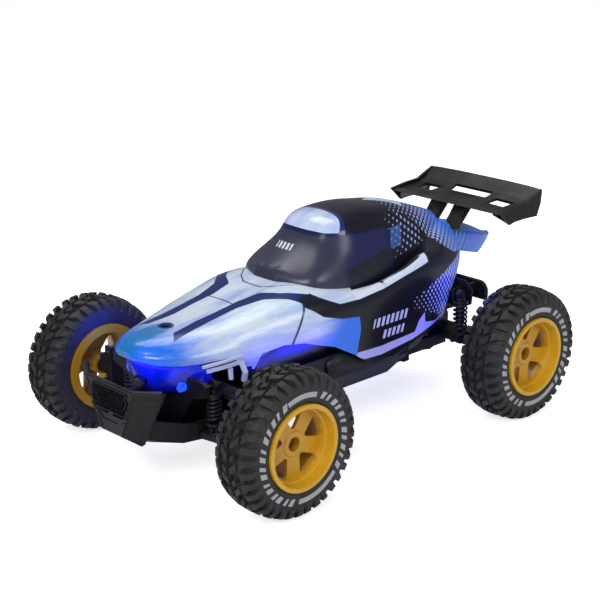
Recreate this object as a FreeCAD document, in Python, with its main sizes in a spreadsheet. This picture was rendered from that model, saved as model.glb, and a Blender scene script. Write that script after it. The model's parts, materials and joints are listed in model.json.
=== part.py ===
"""Radio-control desert buggy, about 1:12.

Frame: +X is the car's left, the nose points to -Y, +Z is up.  The ground is z = 0 and the origin
lies under the middle of the overall length.  Millimetres throughout.
"""
import FreeCAD, Part
import math
import os
import types
import Sketcher

Vector = FreeCAD.Vector
Rotation = FreeCAD.Rotation

DRIVING_SIZES = {
    # overall
    "wheelbase": 212.0,
    "front_overhang": 56.0,
    "rear_overhang": 77.0,
    "track": 185.6,
    # wheels
    "tyre_diameter": 90.0,
    "tyre_width": 31.0,
    "rim_width": 32.0,
    "rim_seat_radius": 24.5,
    "rim_wall": 1.6,
    "rim_lip": 2.0,
    "outer_lip_radius": 26.4,
    "inner_lip_radius": 28.4,
    "disc_depth": 10.0,
    "disc_thickness": 2.4,
    "hub_radius": 6.6,
    "hub_back": 10.0,
    "well_radius": 4.4,
    "well_floor": 1.4,
    "window_radius": 15.0,
    "window_corner": 1.9,
    "window_half_width": 4.9,
    "window_half_height": 3.7,
    "axle_radius": 2.0,
    # body skin
    "body_width": 100.0,
    "roof_height": 143.8,
    "skin": 1.4,
    # chassis tub
    "floor_height": 27.0,
    "floor_half_width": 26.0,
    "tub_half_width": 45.0,
    "tub_shoulder": 46.0,
    "tub_top": 62.0,
    "tub_wall": 2.2,
    "tub_nose_gap": 24.5,
    "tub_tail_gap": 55.5,
    "door_length": 62.0,
    "door_width": 40.0,
    # front suspension
    "arm_inner": 16.0,
    "arm_outer": 66.0,
    "arm_low": 32.0,
    "arm_high": 60.0,
    "arm_thickness": 4.0,
    "barrel": 3.0,
    "hinge_pin": 1.25,
    "kingpin_offset": 71.0,
    "kingpin": 1.5,
    "steer_arm": 12.5,
    "steer_level": 49.25,
    "horn_arm": 15.5,
    "front_shock_offset": 40.0,
    "front_shock_lead": 9.0,
    "front_shock_foot": 39.0,
    "front_shock_head": 67.0,
    # rear swing axle
    "swing_pivot_gap": 49.5,
    "swing_pivot_height": 40.0,
    "tube_radius": 6.5,
    "rear_shock_offset": 52.0,
    "rear_shock_lead": 11.5,
    "rear_shock_foot": 47.0,
    "rear_shock_head": 78.0,
    "tower_half_width": 56.0,
    "tower_top": 82.5,
    # gears
    "gear_module": 0.8,
    # dampers
    "spring_radius": 4.3,
    "spring_wire": 0.7,
    "damper_radius": 3.1,
    "damper_rod": 1.3,
    # wing
    "wing_half_width": 51.6,
    "screw_radius": 1.1,
    "screw_sink_radius": 2.8,
    "screw_sink_depth": 1.4,
    # fits
    "running_fit": 0.05,
    "side_gap": 0.4,
    "open_gap": 1.2,
}

TEETH = {"axle": 36, "counter_small": 12, "counter_large": 30, "pinion": 10}


class Length:
    """A number together with the spreadsheet formula that gives it."""

    def __init__(self, text, value):
        self.text = text
        self.value = value

    @staticmethod
    def of(other):
        return other if isinstance(other, Length) else Length(repr(float(other)), float(other))

    def __add__(self, other):
        other = Length.of(other)
        return Length(f"({self.text} + {other.text})", self.value + other.value)

    def __sub__(self, other):
        other = Length.of(other)
        return Length(f"({self.text} - {other.text})", self.value - other.value)

    def __mul__(self, other):
        other = Length.of(other)
        return Length(f"({self.text} * {other.text})", self.value * other.value)

    def __truediv__(self, other):
        other = Length.of(other)
        return Length(f"({self.text} / {other.text})", self.value / other.value)

    def __radd__(self, other):
        return Length.of(other) + self

    def __rsub__(self, other):
        return Length.of(other) - self

    def __rmul__(self, other):
        return Length.of(other) * self

    def __neg__(self):
        return Length.of(0.0) - self


doc = FreeCAD.newDocument("buggy")


def make_sheet():
    sheet = doc.addObject("Spreadsheet::Sheet", "Sizes")
    for row, (name, value) in enumerate(DRIVING_SIZES.items(), start=1):
        sheet.set(f"A{row}", name)
        sheet.set(f"B{row}", str(value))
        sheet.setAlias(f"B{row}", name)
    doc.recompute()
    return sheet


SHEET = make_sheet()
S = types.SimpleNamespace()
for size_name in DRIVING_SIZES:
    setattr(S, size_name, Length(f"Sizes.{size_name}", float(getattr(SHEET, size_name))))

# Places worked out from the driving sizes
FRONT = -(S.wheelbase + S.front_overhang + S.rear_overhang) / 2 + S.front_overhang
REAR = FRONT + S.wheelbase
NOSE = FRONT - S.front_overhang
TAIL = REAR + S.rear_overhang
AXLE_Z = S.tyre_diameter / 2
WHEEL_X = S.track / 2
PIVOT_Y = REAR - S.swing_pivot_gap
TUB_FRONT = FRONT + S.tub_nose_gap
TUB_REAR = REAR - S.tub_tail_gap
FRONT_SHOCK_Y = FRONT - S.front_shock_lead
REAR_SHOCK_Y = REAR - S.rear_shock_lead

AXIS_TURNS = {
    "X": Rotation(Vector(0, 1, 0), 90),
    "-X": Rotation(Vector(0, 1, 0), -90),
    "Y": Rotation(Vector(1, 0, 0), -90),
    "-Y": Rotation(Vector(1, 0, 0), 90),
    "Z": Rotation(),
    "-Z": Rotation(Vector(1, 0, 0), 180),
}
NODES = {}
SIDES = {"left": 1, "right": -1}


# ---------------------------------------------------------------- building blocks

def bind(obj, path, length):
    obj.setExpression(path, Length.of(length).text)


def place(obj, x, y, z):
    for axis, length in zip("xyz", (x, y, z)):
        bind(obj, f"Placement.Base.{axis}", length)
    return obj


def box(x, y, z, dx, dy, dz):
    """A block centred on x, y, z."""
    x, y, z, dx, dy, dz = (Length.of(v) for v in (x, y, z, dx, dy, dz))
    obj = doc.addObject("Part::Box", "block")
    bind(obj, "Length", dx)
    bind(obj, "Width", dy)
    bind(obj, "Height", dz)
    return place(obj, x - dx / 2, y - dy / 2, z - dz / 2)


def span_box(x_range, y_range, z_range):
    """A block between two limits on each axis."""
    limits = [[Length.of(v) for v in pair] for pair in (x_range, y_range, z_range)]
    centres = [(low + high) / 2 for low, high in limits]
    widths = [high - low for low, high in limits]
    return box(*centres, *widths)


def side_box(side, x_range, y_range, z_range):
    """A block on one side of the car, its x limits counted outwards from the middle."""
    low, high = x_range
    limits = (low, high) if side > 0 else (-Length.of(high), -Length.of(low))
    return span_box(limits, y_range, z_range)


def rod(axis, x, y, z, length, radius):
    """A round bar that starts at x, y, z and runs along an axis."""
    obj = doc.addObject("Part::Cylinder", "bar")
    obj.Placement = FreeCAD.Placement(Vector(), AXIS_TURNS[axis])
    bind(obj, "Radius", radius)
    bind(obj, "Height", length)
    return place(obj, x, y, z)


def cone(axis, x, y, z, length, radius, end_radius):
    obj = doc.addObject("Part::Cone", "taper")
    obj.Placement = FreeCAD.Placement(Vector(), AXIS_TURNS[axis])
    bind(obj, "Radius1", radius)
    bind(obj, "Radius2", end_radius)
    bind(obj, "Height", length)
    return place(obj, x, y, z)


def outward(side):
    return "X" if side > 0 else "-X"


def fuse(*pieces, label="joined"):
    if len(pieces) == 1:
        return pieces[0]
    obj = doc.addObject("Part::MultiFuse", label)
    obj.Shapes = list(pieces)
    obj.Refine = True
    return obj


def cut(base, *tools, label="cut"):
    obj = doc.addObject("Part::Cut", label)
    obj.Base = base
    obj.Tool = fuse(*tools, label="tools")
    return obj


def group(*pieces, label="set"):
    obj = doc.addObject("Part::Compound", label)
    obj.Links = list(pieces)
    return obj


def node(name, obj):
    """Name a finished sub-part; the label becomes its file name."""
    obj.Label = name
    NODES[name] = obj
    return obj


def feature(shape):
    obj = doc.addObject("Part::Feature", "skin")
    obj.Shape = shape
    return obj


def new_body():
    return doc.addObject("PartDesign::Body", "piece")


def origin_plane(body, role):
    return [item for item in body.Origin.OriginFeatures if item.Role == role][0]


def new_sketch(body, role, offset=0.0):
    sketch = body.newObject("Sketcher::SketchObject", "outline")
    sketch.AttachmentSupport = [(origin_plane(body, role), "")]
    sketch.MapMode = "FlatFace"
    bind(sketch, "AttachmentOffset.Base.z", offset)
    return sketch


def fix(sketch, kind, *where, length):
    """Add one dimension and bind it to the sheet."""
    length = Length.of(length)
    index = sketch.addConstraint(Sketcher.Constraint(kind, *where, length.value))
    sketch.setExpression(f"Constraints[{index}]", length.text)


def draw_polygon(sketch, points):
    points = [(Length.of(x), Length.of(y)) for x, y in points]
    corners = [Vector(x.value, y.value, 0) for x, y in points]
    first = sketch.GeometryCount
    count = len(points)
    for index, corner in enumerate(corners):
        sketch.addGeometry(Part.LineSegment(corner, corners[(index + 1) % count]), False)
    for index in range(count):
        following = first + (index + 1) % count
        sketch.addConstraint(Sketcher.Constraint("Coincident", first + index, 2, following, 1))
    for index, (x, y) in enumerate(points):
        fix(sketch, "DistanceX", first + index, 1, length=x)
        fix(sketch, "DistanceY", first + index, 1, length=y)


def draw_circle(sketch, x, y, radius):
    x, y, radius = (Length.of(v) for v in (x, y, radius))
    centre = Vector(x.value, y.value, 0)
    index = sketch.addGeometry(Part.Circle(centre, Vector(0, 0, 1), radius.value), False)
    fix(sketch, "DistanceX", index, 3, length=x)
    fix(sketch, "DistanceY", index, 3, length=y)
    fix(sketch, "Radius", index, length=radius)


def draw_rounded(sketch, centres, radius):
    """A closed outline of arcs about the given centres, joined by tangent lines."""
    radius = Length.of(radius)
    centres = [(Length.of(x), Length.of(y)) for x, y in centres]
    points = [Vector(x.value, y.value, 0) for x, y in centres]
    count = len(points)
    normals = []
    for index, point in enumerate(points):
        along = (points[(index + 1) % count] - point).normalize()
        normals.append(Vector(along.y, -along.x, 0) * radius.value)
    first = sketch.GeometryCount
    for index, point in enumerate(points):
        start = math.atan2(normals[index - 1].y, normals[index - 1].x)
        end = math.atan2(normals[index].y, normals[index].x)
        circle = Part.Circle(point, Vector(0, 0, 1), radius.value)
        sketch.addGeometry(Part.ArcOfCircle(circle, start, end), False)
        line_end = points[(index + 1) % count] + normals[index]
        sketch.addGeometry(Part.LineSegment(point + normals[index], line_end), False)
    for index in range(count):
        arc = first + 2 * index
        line = arc + 1
        following = first + 2 * ((index + 1) % count)
        sketch.addConstraint(Sketcher.Constraint("Tangent", arc, 2, line, 1))
        sketch.addConstraint(Sketcher.Constraint("Tangent", line, 2, following, 1))
        fix(sketch, "DistanceX", arc, 3, length=centres[index][0])
        fix(sketch, "DistanceY", arc, 3, length=centres[index][1])
        fix(sketch, "Radius", arc, length=radius)


def pad(body, sketch, length, symmetric=False, reverse=False):
    obj = body.newObject("PartDesign::Pad", "pad")
    obj.Profile = sketch
    if symmetric:
        obj.SideType = "Symmetric"
    obj.Reversed = reverse
    bind(obj, "Length", length)
    return obj


def pocket(body, sketch, length, symmetric=False, reverse=False):
    obj = body.newObject("PartDesign::Pocket", "pocket")
    obj.Profile = sketch
    if symmetric:
        obj.SideType = "Symmetric"
    obj.Reversed = reverse
    bind(obj, "Length", length)
    return obj


def revolve(body, sketch, axis_role):
    obj = body.newObject("PartDesign::Revolution", "turned")
    obj.Profile = sketch
    obj.ReferenceAxis = (origin_plane(body, axis_role), [""])
    obj.Angle = 360
    return obj


def polar(body, feature_object, axis_role, count):
    obj = body.newObject("PartDesign::PolarPattern", "ring")
    obj.Originals = [feature_object]
    obj.Axis = (origin_plane(body, axis_role), [""])
    obj.Angle = 360
    obj.Occurrences = count
    body.Tip = obj
    return obj


def plate(role, points, thickness, x=0.0, y=0.0, z=0.0):
    """A flat piece: an outline on an origin plane, thickened both ways."""
    body = new_body()
    sketch = new_sketch(body, role)
    draw_polygon(sketch, points)
    pad(body, sketch, thickness, symmetric=True)
    place(body, x, y, z)
    return body


# ---------------------------------------------------------------- body skin

# Half sections of the hull: place along the car, then x and z from the crown to the sill.
# Places run from -1 at the foremost point, over 0 and 1 at the axles, to 2 at the rearmost point.
HULL = [
    (-0.840, [(0, 87.0), (2, 86.5), (4, 85.0), (5, 83.0), (5, 78.0)]),
    (-0.768, [(0, 90.5), (7, 89.5), (11.5, 86.0), (13.5, 82.0), (13, 72.0)]),
    (-0.643, [(0, 93.0), (9, 92.0), (16, 88.5), (20, 82.5), (20, 70.0)]),
    (-0.429, [(0, 94.4), (11, 93.8), (21, 90.0), (27, 82.5), (27.5, 68.0)]),
    (-0.107, [(0, 95.8), (13, 95.4), (25.5, 92.4), (32.5, 83.0), (34, 66.0)]),
    (0.066, [(0, 98.4), (15, 98.4), (30, 95.4), (37.8, 86.0), (39.8, 64.0)]),
    (0.170, [(0, 101.6), (18, 102.0), (34, 98.6), (42, 88.0), (45, 62.0)]),
    (0.264, [(0, 105.0), (20, 105.4), (36.5, 102.0), (45.5, 90.0), (48.3, 58.0)]),
    (0.358, [(0, 107.4), (24, 107.2), (39.5, 102.6), (47.6, 90.5), (49.6, 52.0)]),
    (0.462, [(0, 104.0), (28, 103.0), (42.5, 99.8), (48.8, 88.5), (50, 48.0)]),
    (0.571, [(0, 99.0), (33, 98.5), (43.5, 100.0), (49.2, 88.5), (49.6, 44.0)]),
    (0.689, [(0, 98.0), (33, 98.5), (43.5, 104.5), (49, 90.0), (48.5, 42.0)]),
    (0.807, [(0, 104.0), (30, 105.0), (41.5, 110.0), (48, 92.0), (46.5, 42.0)]),
    (0.901, [(0, 113.0), (25, 112.5), (38, 109.5), (45, 92.0), (42, 48.0)]),
    (0.981, [(0, 117.0), (20, 115.5), (32, 108.5), (40.5, 92.0), (38, 60.0)]),
    (1.117, [(0, 117.5), (15, 115.5), (25, 108.0), (33, 97.0), (31, 76.0)]),
    (1.247, [(0, 116.0), (12, 114.0), (19, 107.0), (25, 97.0), (22, 84.0)]),
]
# Half sections of the cockpit hood, standing on the hull.
CANOPY = [
    (0.325, [(0, 112.5), (4, 112.0), (8, 111.0), (10, 108.0), (10.5, 98.0)]),
    (0.349, [(0, 118.2), (10, 117.0), (17, 113.5), (21.5, 107.0), (23, 96.0)]),
    (0.387, [(0, 127.5), (14, 126.0), (24.5, 119.5), (31, 109.0), (33, 95.0)]),
    (0.425, [(0, 136.2), (15, 134.8), (25.8, 128.0), (33.2, 111.5), (35.5, 95.0)]),
    (0.458, [(0, 140.3), (16, 138.7), (26.3, 131.0), (34, 112.0), (36.5, 95.0)]),
    (0.514, [(0, 142.6), (17, 140.8), (26.8, 132.3), (34.5, 112.0), (37, 94.0)]),
    (0.604, [(0, 143.8), (17, 142.0), (26.4, 133.0), (34, 112.0), (36, 92.0)]),
    (0.712, [(0, 143.2), (16.5, 141.0), (25.3, 131.5), (33, 112.0), (35, 92.0)]),
    (0.807, [(0, 140.6), (15, 138.0), (23.5, 128.0), (31, 112.0), (33, 96.0)]),
    (0.901, [(0, 135.4), (12.5, 133.0), (20.5, 124.0), (27.5, 111.0), (30, 99.0)]),
    (0.986, [(0, 129.0), (9, 127.0), (16, 119.0), (21, 109.5), (23, 99.0)]),
    (1.156, [(0, 123.0), (5.5, 121.0), (10, 115.5), (13.5, 108.5), (14.5, 100.0)]),
]
# Half sections of the ducktail behind the hull.
TAIL_FIN = [
    (1.150, [(0, 116.0), (6, 115.0), (12, 111.5), (15, 105.0), (15, 92.0)]),
    (1.300, [(0, 114.6), (6, 113.4), (11.5, 110.0), (14.5, 104.0), (14, 91.0)]),
    (1.480, [(0, 110.6), (5.5, 109.6), (10.5, 106.6), (13.5, 101.5), (12.5, 87.0)]),
    (1.700, [(0, 104.6), (4.5, 103.8), (8.5, 101.4), (11, 97.5), (10, 84.5)]),
    (1.880, [(0, 98.0), (3.2, 97.6), (5.6, 96.2), (7, 94.0), (6.4, 88.0)]),
    (2.000, [(0, 95.2), (1.2, 95.0), (2.0, 94.4), (2.6, 93.4), (2.4, 91.0)]),
]
# Lower edge of the skin in side view, nose to tail.
SILL = [
    (-1.05, 84.0), (-0.786, 79.0), (-0.66, 76.2), (-0.429, 74.2), (-0.107, 70.6), (0.066, 68.6),
    (0.104, 69.5), (0.132, 78.0), (0.208, 80.0), (0.278, 78.0), (0.392, 70.0), (0.476, 60.0),
    (0.542, 50.6), (0.646, 50.2), (0.769, 55.5), (0.877, 58.5), (0.910, 61.0), (0.934, 74.0),
    (0.972, 85.0), (1.026, 92.6), (1.130, 97.4), (1.30, 98.0),
]
REFERENCE_HALF_WIDTH = 50.0
REFERENCE_FLOOR = 27.0
REFERENCE_ROOF = 143.8


def along(place_on_car):
    """y of a place that runs from -1 at the nose end, over the axles at 0 and 1, to 2 at the tail."""
    if place_on_car < 0:
        return FRONT.value + place_on_car * S.front_overhang.value
    if place_on_car > 1:
        return REAR.value + (place_on_car - 1) * S.rear_overhang.value
    return FRONT.value + place_on_car * S.wheelbase.value


def across(x):
    return x * S.body_width.value / 2 / REFERENCE_HALF_WIDTH


def level(z):
    stretch = (S.roof_height.value - S.floor_height.value) / (REFERENCE_ROOF - REFERENCE_FLOOR)
    return S.floor_height.value + (z - REFERENCE_FLOOR) * stretch


def inset(points, depth):
    """Move a half section inwards by the skin's thickness."""
    moved = []
    for index, point in enumerate(points):
        before = points[max(index - 1, 0)]
        after = points[min(index + 1, len(points) - 1)]
        direction = Vector(after[0] - before[0], after[1] - before[1], 0).normalize()
        if index == 0:
            direction = Vector(1, 0, 0)
        moved.append((point[0] + direction.y * depth, point[1] - direction.x * depth))
    return moved


def section_wire(y, points, bottom):
    """One closed section: a smooth curve over the top and a straight line underneath."""
    last_x = points[-1][0]
    half = points + [(last_x, bottom)]
    ring = [(-x, z) for x, z in reversed(half)] + half[1:]
    steps = [index / (len(ring) - 1) for index in range(len(ring))]
    curve = Part.BSplineCurve()
    curve.interpolate(Points=[Vector(x, y, z) for x, z in ring], Parameters=steps)
    closing = Part.LineSegment(Vector(last_x, y, bottom), Vector(-last_x, y, bottom))
    return Part.Wire([curve.toShape(), closing.toShape()])


def skin_solid(stations, depth, bottom):
    wires = []
    for place_on_car, points in stations:
        sized = [(across(x), level(z)) for x, z in points]
        wires.append(section_wire(along(place_on_car), inset(sized, depth) if depth else sized, bottom))
    return Part.makeLoft(wires, True, False)


def side_prism(points, half_width):
    """A block whose side view is the given outline."""
    corners = [Vector(-half_width, y, z) for y, z in points]
    face = Part.Face(Part.makePolygon(corners + corners[:1]))
    return face.extrude(Vector(2 * half_width, 0, 0))


def hull_floor():
    return S.floor_height.value


def make_skins():
    hull = skin_solid(HULL, 0.0, hull_floor())
    depth = S.skin.value
    inner_stations = HULL[1:-1] + [(HULL[-1][0] - 0.03, HULL[-1][1])]
    hull_inner = skin_solid(inner_stations, depth, hull_floor() - 1.0)
    canopy_bottom = level(86.0)
    canopy = skin_solid(CANOPY, 0.0, canopy_bottom)
    canopy_inner = skin_solid(CANOPY[1:-1], depth, canopy_bottom - 4.0)
    below = [(along(p), level(z)) for p, z in SILL]
    margin = 20.0
    below += [
        (below[-1][0] + margin, below[-1][1]),
        (below[-1][0] + margin, 0.0),
        (below[0][0] - margin, 0.0),
    ]
    below += [(below[0][0] - margin, below[0][1])]
    under = side_prism(below, S.body_width.value)
    deck = hull.cut([hull_inner, canopy_inner, under])
    hood = canopy.cut([canopy_inner, hull])
    return hull, deck, hood


def window_outline():
    return [
        (along(0.26), level(100.0)), (along(0.26), level(134.2)), (along(0.417), level(134.2)),
        (along(0.475), level(132.4)), (along(0.533), level(131.8)), (along(0.726), level(129.5)),
        (along(0.717), level(100.0)),
    ]


def roof_outline():
    return [
        (along(0.26), level(134.2)), (along(0.417), level(134.2)), (along(0.475), level(132.4)),
        (along(0.533), level(131.8)), (along(0.590), level(150.0)), (along(0.26), level(150.0)),
    ]


def make_body_panels():
    hull, deck, hood = make_skins()
    half = S.body_width.value
    window = hood.common(side_prism(window_outline(), half))
    roof = hood.common(side_prism(roof_outline(), half))
    rest = hood.cut([side_prism(window_outline(), half), side_prism(roof_outline(), half)])
    screw_hole = Part.makeCylinder(3.4, 20, Vector(0, along(-0.21), level(80.0)))
    node("body_shell", feature(deck.fuse(rest).cut(screw_hole)))
    node("windscreen", feature(window))
    node("roof_panel", feature(roof))
    fin = skin_solid(TAIL_FIN, 0.0, level(82.0))
    shape_of_fin = [(along(1.1), level(125.0)), (along(1.1), level(96.0)), (along(1.40), level(92.0)),
                    (along(1.73), level(84.4)), (along(2.0), level(93.0)), (along(2.0), level(125.0))]
    fin_inner = skin_solid(TAIL_FIN[:-1], S.skin.value, level(80.0))
    fin = fin.common(side_prism(shape_of_fin, half)).cut([hull, fin_inner])
    node("tail_fin", feature(fin))
    return hull.fuse(skin_solid(TAIL_FIN, 0.0, level(82.0)))


# ---------------------------------------------------------------- chassis

def make_tub():
    """Open-topped tub: sloped lower sides, upright upper sides, a wall at each end."""
    body = new_body()
    wall = S.tub_wall
    low, wide, shoulder, top = S.floor_half_width, S.tub_half_width, S.tub_shoulder, S.tub_top
    floor = S.floor_height
    shell = new_sketch(body, "XZ_Plane")
    inner_low = low - wall / 2
    inner_wide = wide - wall
    outer = [(-wide, top), (-wide, shoulder), (-low, floor), (low, floor), (wide, shoulder), (wide, top)]
    inner = [(inner_wide, top), (inner_wide, shoulder + wall / 2), (inner_low, floor + wall)]
    inner += [(-inner_low, floor + wall), (-inner_wide, shoulder + wall / 2), (-inner_wide, top)]
    draw_polygon(shell, outer + inner)
    length = TUB_REAR - TUB_FRONT
    pad(body, shell, length, reverse=True)
    for offset, reverse in ((0.0, True), (-length, False)):
        end = new_sketch(body, "XZ_Plane", offset)
        draw_polygon(end, outer)
        pad(body, end, wall, reverse=reverse)
    opening = new_sketch(body, "XY_Plane", floor - 1.0)
    half_length, half_width = S.door_length / 2 + 0.2, S.door_width / 2 + 0.2
    middle = length / 2
    draw_polygon(opening, [(-half_width, middle - half_length), (half_width, middle - half_length),
                           (half_width, middle + half_length), (-half_width, middle + half_length)])
    pocket(body, opening, wall + 2.0, reverse=True)
    slot = new_sketch(body, "XY_Plane", floor - 1.0)
    slot_y = length - 13.0
    draw_polygon(slot, [(-6.0, slot_y - 2.4), (6.0, slot_y - 2.4), (6.0, slot_y + 2.4), (-6.0, slot_y + 2.4)])
    pocket(body, slot, wall + 2.0, reverse=True)
    notch = new_sketch(body, "XZ_Plane")
    draw_polygon(notch, [(-8.0, 40.0), (8.0, 40.0), (8.0, top + 1.0), (-8.0, top + 1.0)])
    pocket(body, notch, wall + 1.0)
    holes = new_sketch(body, "XY_Plane", floor - 1.0)
    for side in SIDES.values():
        for y in (8.0, length - 8.0):
            draw_circle(holes, side * (low - 6.0), y, S.screw_radius)
    pocket(body, holes, wall + 2.0, reverse=True)
    sinks = new_sketch(body, "XY_Plane", floor)
    for side in SIDES.values():
        for y in (8.0, length - 8.0):
            draw_circle(sinks, side * (low - 6.0), y, S.screw_sink_radius)
    pocket(body, sinks, S.screw_sink_depth, reverse=True)
    place(body, 0, TUB_FRONT, 0)
    node("chassis_tub", cut(fuse(body, *pivot_lugs()), pivot_pin()))


def pivot_lugs():
    """Two pairs of lugs behind the tub that hold the rear swing axle's pin."""
    lugs = []
    for side in SIDES.values():
        for inner in (24.2, 33.0):
            lugs.append(side_box(side, (inner, inner + 2.6), (TUB_REAR - 0.5, PIVOT_Y + 3.6),
                                 (S.swing_pivot_height - 3.6, S.swing_pivot_height + 3.6)))
    return lugs


def pivot_pin():
    return rod("X", -36.0, PIVOT_Y, S.swing_pivot_height, 72.0, S.hinge_pin)


def make_side_guards():
    """Nerf bars along both sides of the tub, with the front and rear pivots' lugs left clear."""
    start = TUB_FRONT + 84.0
    end = TUB_REAR + 8.0
    bars = []
    for side in SIDES.values():
        rail = side_box(side, (S.tub_half_width + 0.02, S.tub_half_width + 3.4), (start, end), (43, 49))
        lip = side_box(side, (S.tub_half_width + 0.02, S.tub_half_width + 2.0), (start - 20, end), (49, 55))
        bars.append(fuse(rail, lip))
    node("side_guards", group(*bars))


def make_battery_bay():
    middle = (TUB_FRONT + TUB_REAR) / 2
    door_level = S.floor_height + S.tub_wall / 2
    door = box(0, middle, door_level, S.door_width, S.door_length, S.tub_wall)
    screw_y = middle + S.door_length / 2 - 3.0
    dimple = rod("Z", 0, screw_y, S.floor_height - 0.5, S.screw_sink_depth + 0.5, S.screw_sink_radius)
    hole = rod("Z", 0, screw_y, S.floor_height - 0.5, S.tub_wall + 1.0, S.screw_radius)
    node("battery_door", cut(door, dimple, hole))
    level = S.floor_height + S.tub_wall + 7.6
    pack = [rod("Y", x, middle - 25.0, level, 50.0, 7.2) for x in (-14.6, 0.0, 14.6)]
    node("battery_pack", fuse(*pack, box(0, middle, S.floor_height + S.tub_wall + 1.6, 40, 50, 2.4)))
    board = box(0, middle + 6.0, 50.0, 52.0, 40.0, 1.6)
    chips = [box(-12, middle + 2, 51.6, 12, 12, 2.0), box(12, middle + 12, 51.6, 9, 7, 2.0)]
    chips += [rod("Z", 18, middle - 8, 50.7, 7.0, 3.2), rod("Z", -20, middle + 20, 50.7, 5.0, 2.4)]
    node("circuit_board", fuse(board, *chips))


def make_screws():
    """Pan-head self-tapping screws: one in the nose, one in the battery door, four in the tub."""
    screws = [screw(0, FRONT - 0.21 * S.front_overhang, Length.of(level(92.0)), up=True)]
    door_screw_y = (TUB_FRONT + TUB_REAR) / 2 + S.door_length / 2 - 3.0
    seat = S.floor_height + S.screw_sink_depth
    screws.append(screw(0, door_screw_y, seat, up=False))
    for side in SIDES.values():
        for y in (TUB_FRONT + 8.0, TUB_REAR - 8.0):
            screws.append(screw(side * (S.floor_half_width - 6.0), y, seat, up=False))
    node("body_screws", group(*screws))


def screw(x, y, seat, up):
    """One screw whose head rests on the level called seat."""
    way = "Z" if up else "-Z"
    back = "-Z" if up else "Z"
    head = cone(way, x, y, seat, 1.3, 2.5, 2.0)
    shank = rod(back, x, y, seat, 5.0, S.screw_radius)
    recess = rod(way, x, y, seat + 0.7 if up else seat - 0.7, 1.0, 1.0)
    return cut(fuse(head, shank), recess)


def make_bulkhead():
    """Front bulkhead: upper and lower blocks with lugs for the arms, open between for the rack."""
    rear_end = FRONT + 16.0
    lower = span_box((-12, 12), (FRONT - 15.9, TUB_FRONT), (28, 42.4))
    upper = span_box((-12, 12), (FRONT - 15.9, rear_end), (S.arm_high - 6.4, S.arm_high + 4))
    spine = span_box((-12, 12), (FRONT - 15.9, FRONT + 7.0), (28, S.arm_high + 4))
    rests = [
        side_box(side, (9, 15), (FRONT + 9.5, FRONT + 18.5), (40, S.steer_level - 2.6))
        for side in (1, -1)
    ]
    post = rod("Z", 0, FRONT - 0.21 * S.front_overhang, S.arm_high, Length.of(level(92.0)) - S.arm_high, 4.0)
    lugs = []
    for side in SIDES.values():
        for height, front, rear in ((S.arm_low, -13.4, 13.4), (S.arm_high, -3.4, 10.4)):
            for y_range in ((FRONT + front - 2.5, FRONT + front), (FRONT + rear, FRONT + rear + 2.5)):
                lugs.append(side_box(side, (11, S.arm_inner + 3.5), y_range, (height - 3.5, height + 3.5)))
    holes = [rod("Z", 0, FRONT - 0.21 * S.front_overhang, Length.of(level(92.0)) - 6.0, 7.0, S.screw_radius)]
    holes += front_pins()
    node("front_bulkhead", cut(fuse(lower, upper, spine, post, *rests, *lugs), *holes))


def front_pins():
    pins = []
    for side in SIDES.values():
        x = side * S.arm_inner
        pins.append(rod("Y", x, FRONT - 15.95, S.arm_low, 31.9, S.hinge_pin))
        pins.append(rod("Y", x, FRONT - 5.95, S.arm_high, 18.9, S.hinge_pin))
    return pins


def make_hinge_pins():
    """The suspension's fixed hinge pins: two on each front side and one across the rear pivot."""
    pins = front_pins()
    pins.append(pivot_pin())
    node("hinge_pins", group(*pins))


def make_front_tower():
    """Shock tower: an upright plate across the nose with a long pin for each damper."""
    outline = [(-14, 30), (14, 30), (19, 40), (30, 58), (45, 63), (45, 69.4), (41, 71),
               (-41, 71), (-45, 69.4), (-45, 63), (-30, 58), (-19, 40)]
    body = plate("XZ_Plane", outline, 3.0, y=FRONT - 17.5)
    pins = [
        rod("Y", side * S.front_shock_offset, FRONT - 17.0, S.front_shock_head, 13.0, 1.4)
        for side in (1, -1)
    ]
    node("front_shock_tower", fuse(body, *pins))


def make_bumper():
    """Front bumper: a sloping face with two swept cheeks, carried by a box from the tower."""
    y_face = NOSE.value
    face = [(-23, y_face, 69), (23, y_face, 69), (9, y_face + 1.0, 38.5), (-9, y_face + 1.0, 38.5)]
    panel = slab(face, Vector(0, 3.0, 0))
    cheeks = []
    for side in SIDES.values():
        corners = [(23 * side, y_face, 69), (38 * side, y_face + 10, 70.7),
                   (18.5 * side, y_face + 8, 33), (9 * side, y_face + 1.0, 38.5)]
        cheeks.append(slab(corners, Vector(0, 3.0, 0)))
    under = [(-9, y_face + 1, 38.5), (9, y_face + 1, 38.5), (18.5, y_face + 8, 33), (-18.5, y_face + 8, 33)]
    chin = slab(under, Vector(0, 3.0, 0))
    openings = [Part.makeBox(12, 20, 16, Vector(x, y_face - 5, 50)) for x in (-14, 2)]
    frame = panel.fuse([*cheeks, chin])
    carrier = Part.makeBox(22, FRONT.value - 19.0 - y_face - 3.0, 20, Vector(-11, y_face + 3.0, 38))
    node("front_bumper", feature(frame.cut(openings).fuse(carrier)))


def slab(corners, depth):
    """A plate from a planar or nearly planar ring of corners, extruded as a fan of triangles."""
    pieces = []
    points = [Vector(*corner) for corner in corners]
    for index in range(1, len(points) - 1):
        ring = [points[0], points[index], points[index + 1], points[0]]
        pieces.append(Part.Face(Part.makePolygon(ring)).extrude(depth))
    return pieces[0].fuse(pieces[1:]) if len(pieces) > 1 else pieces[0]


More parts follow.
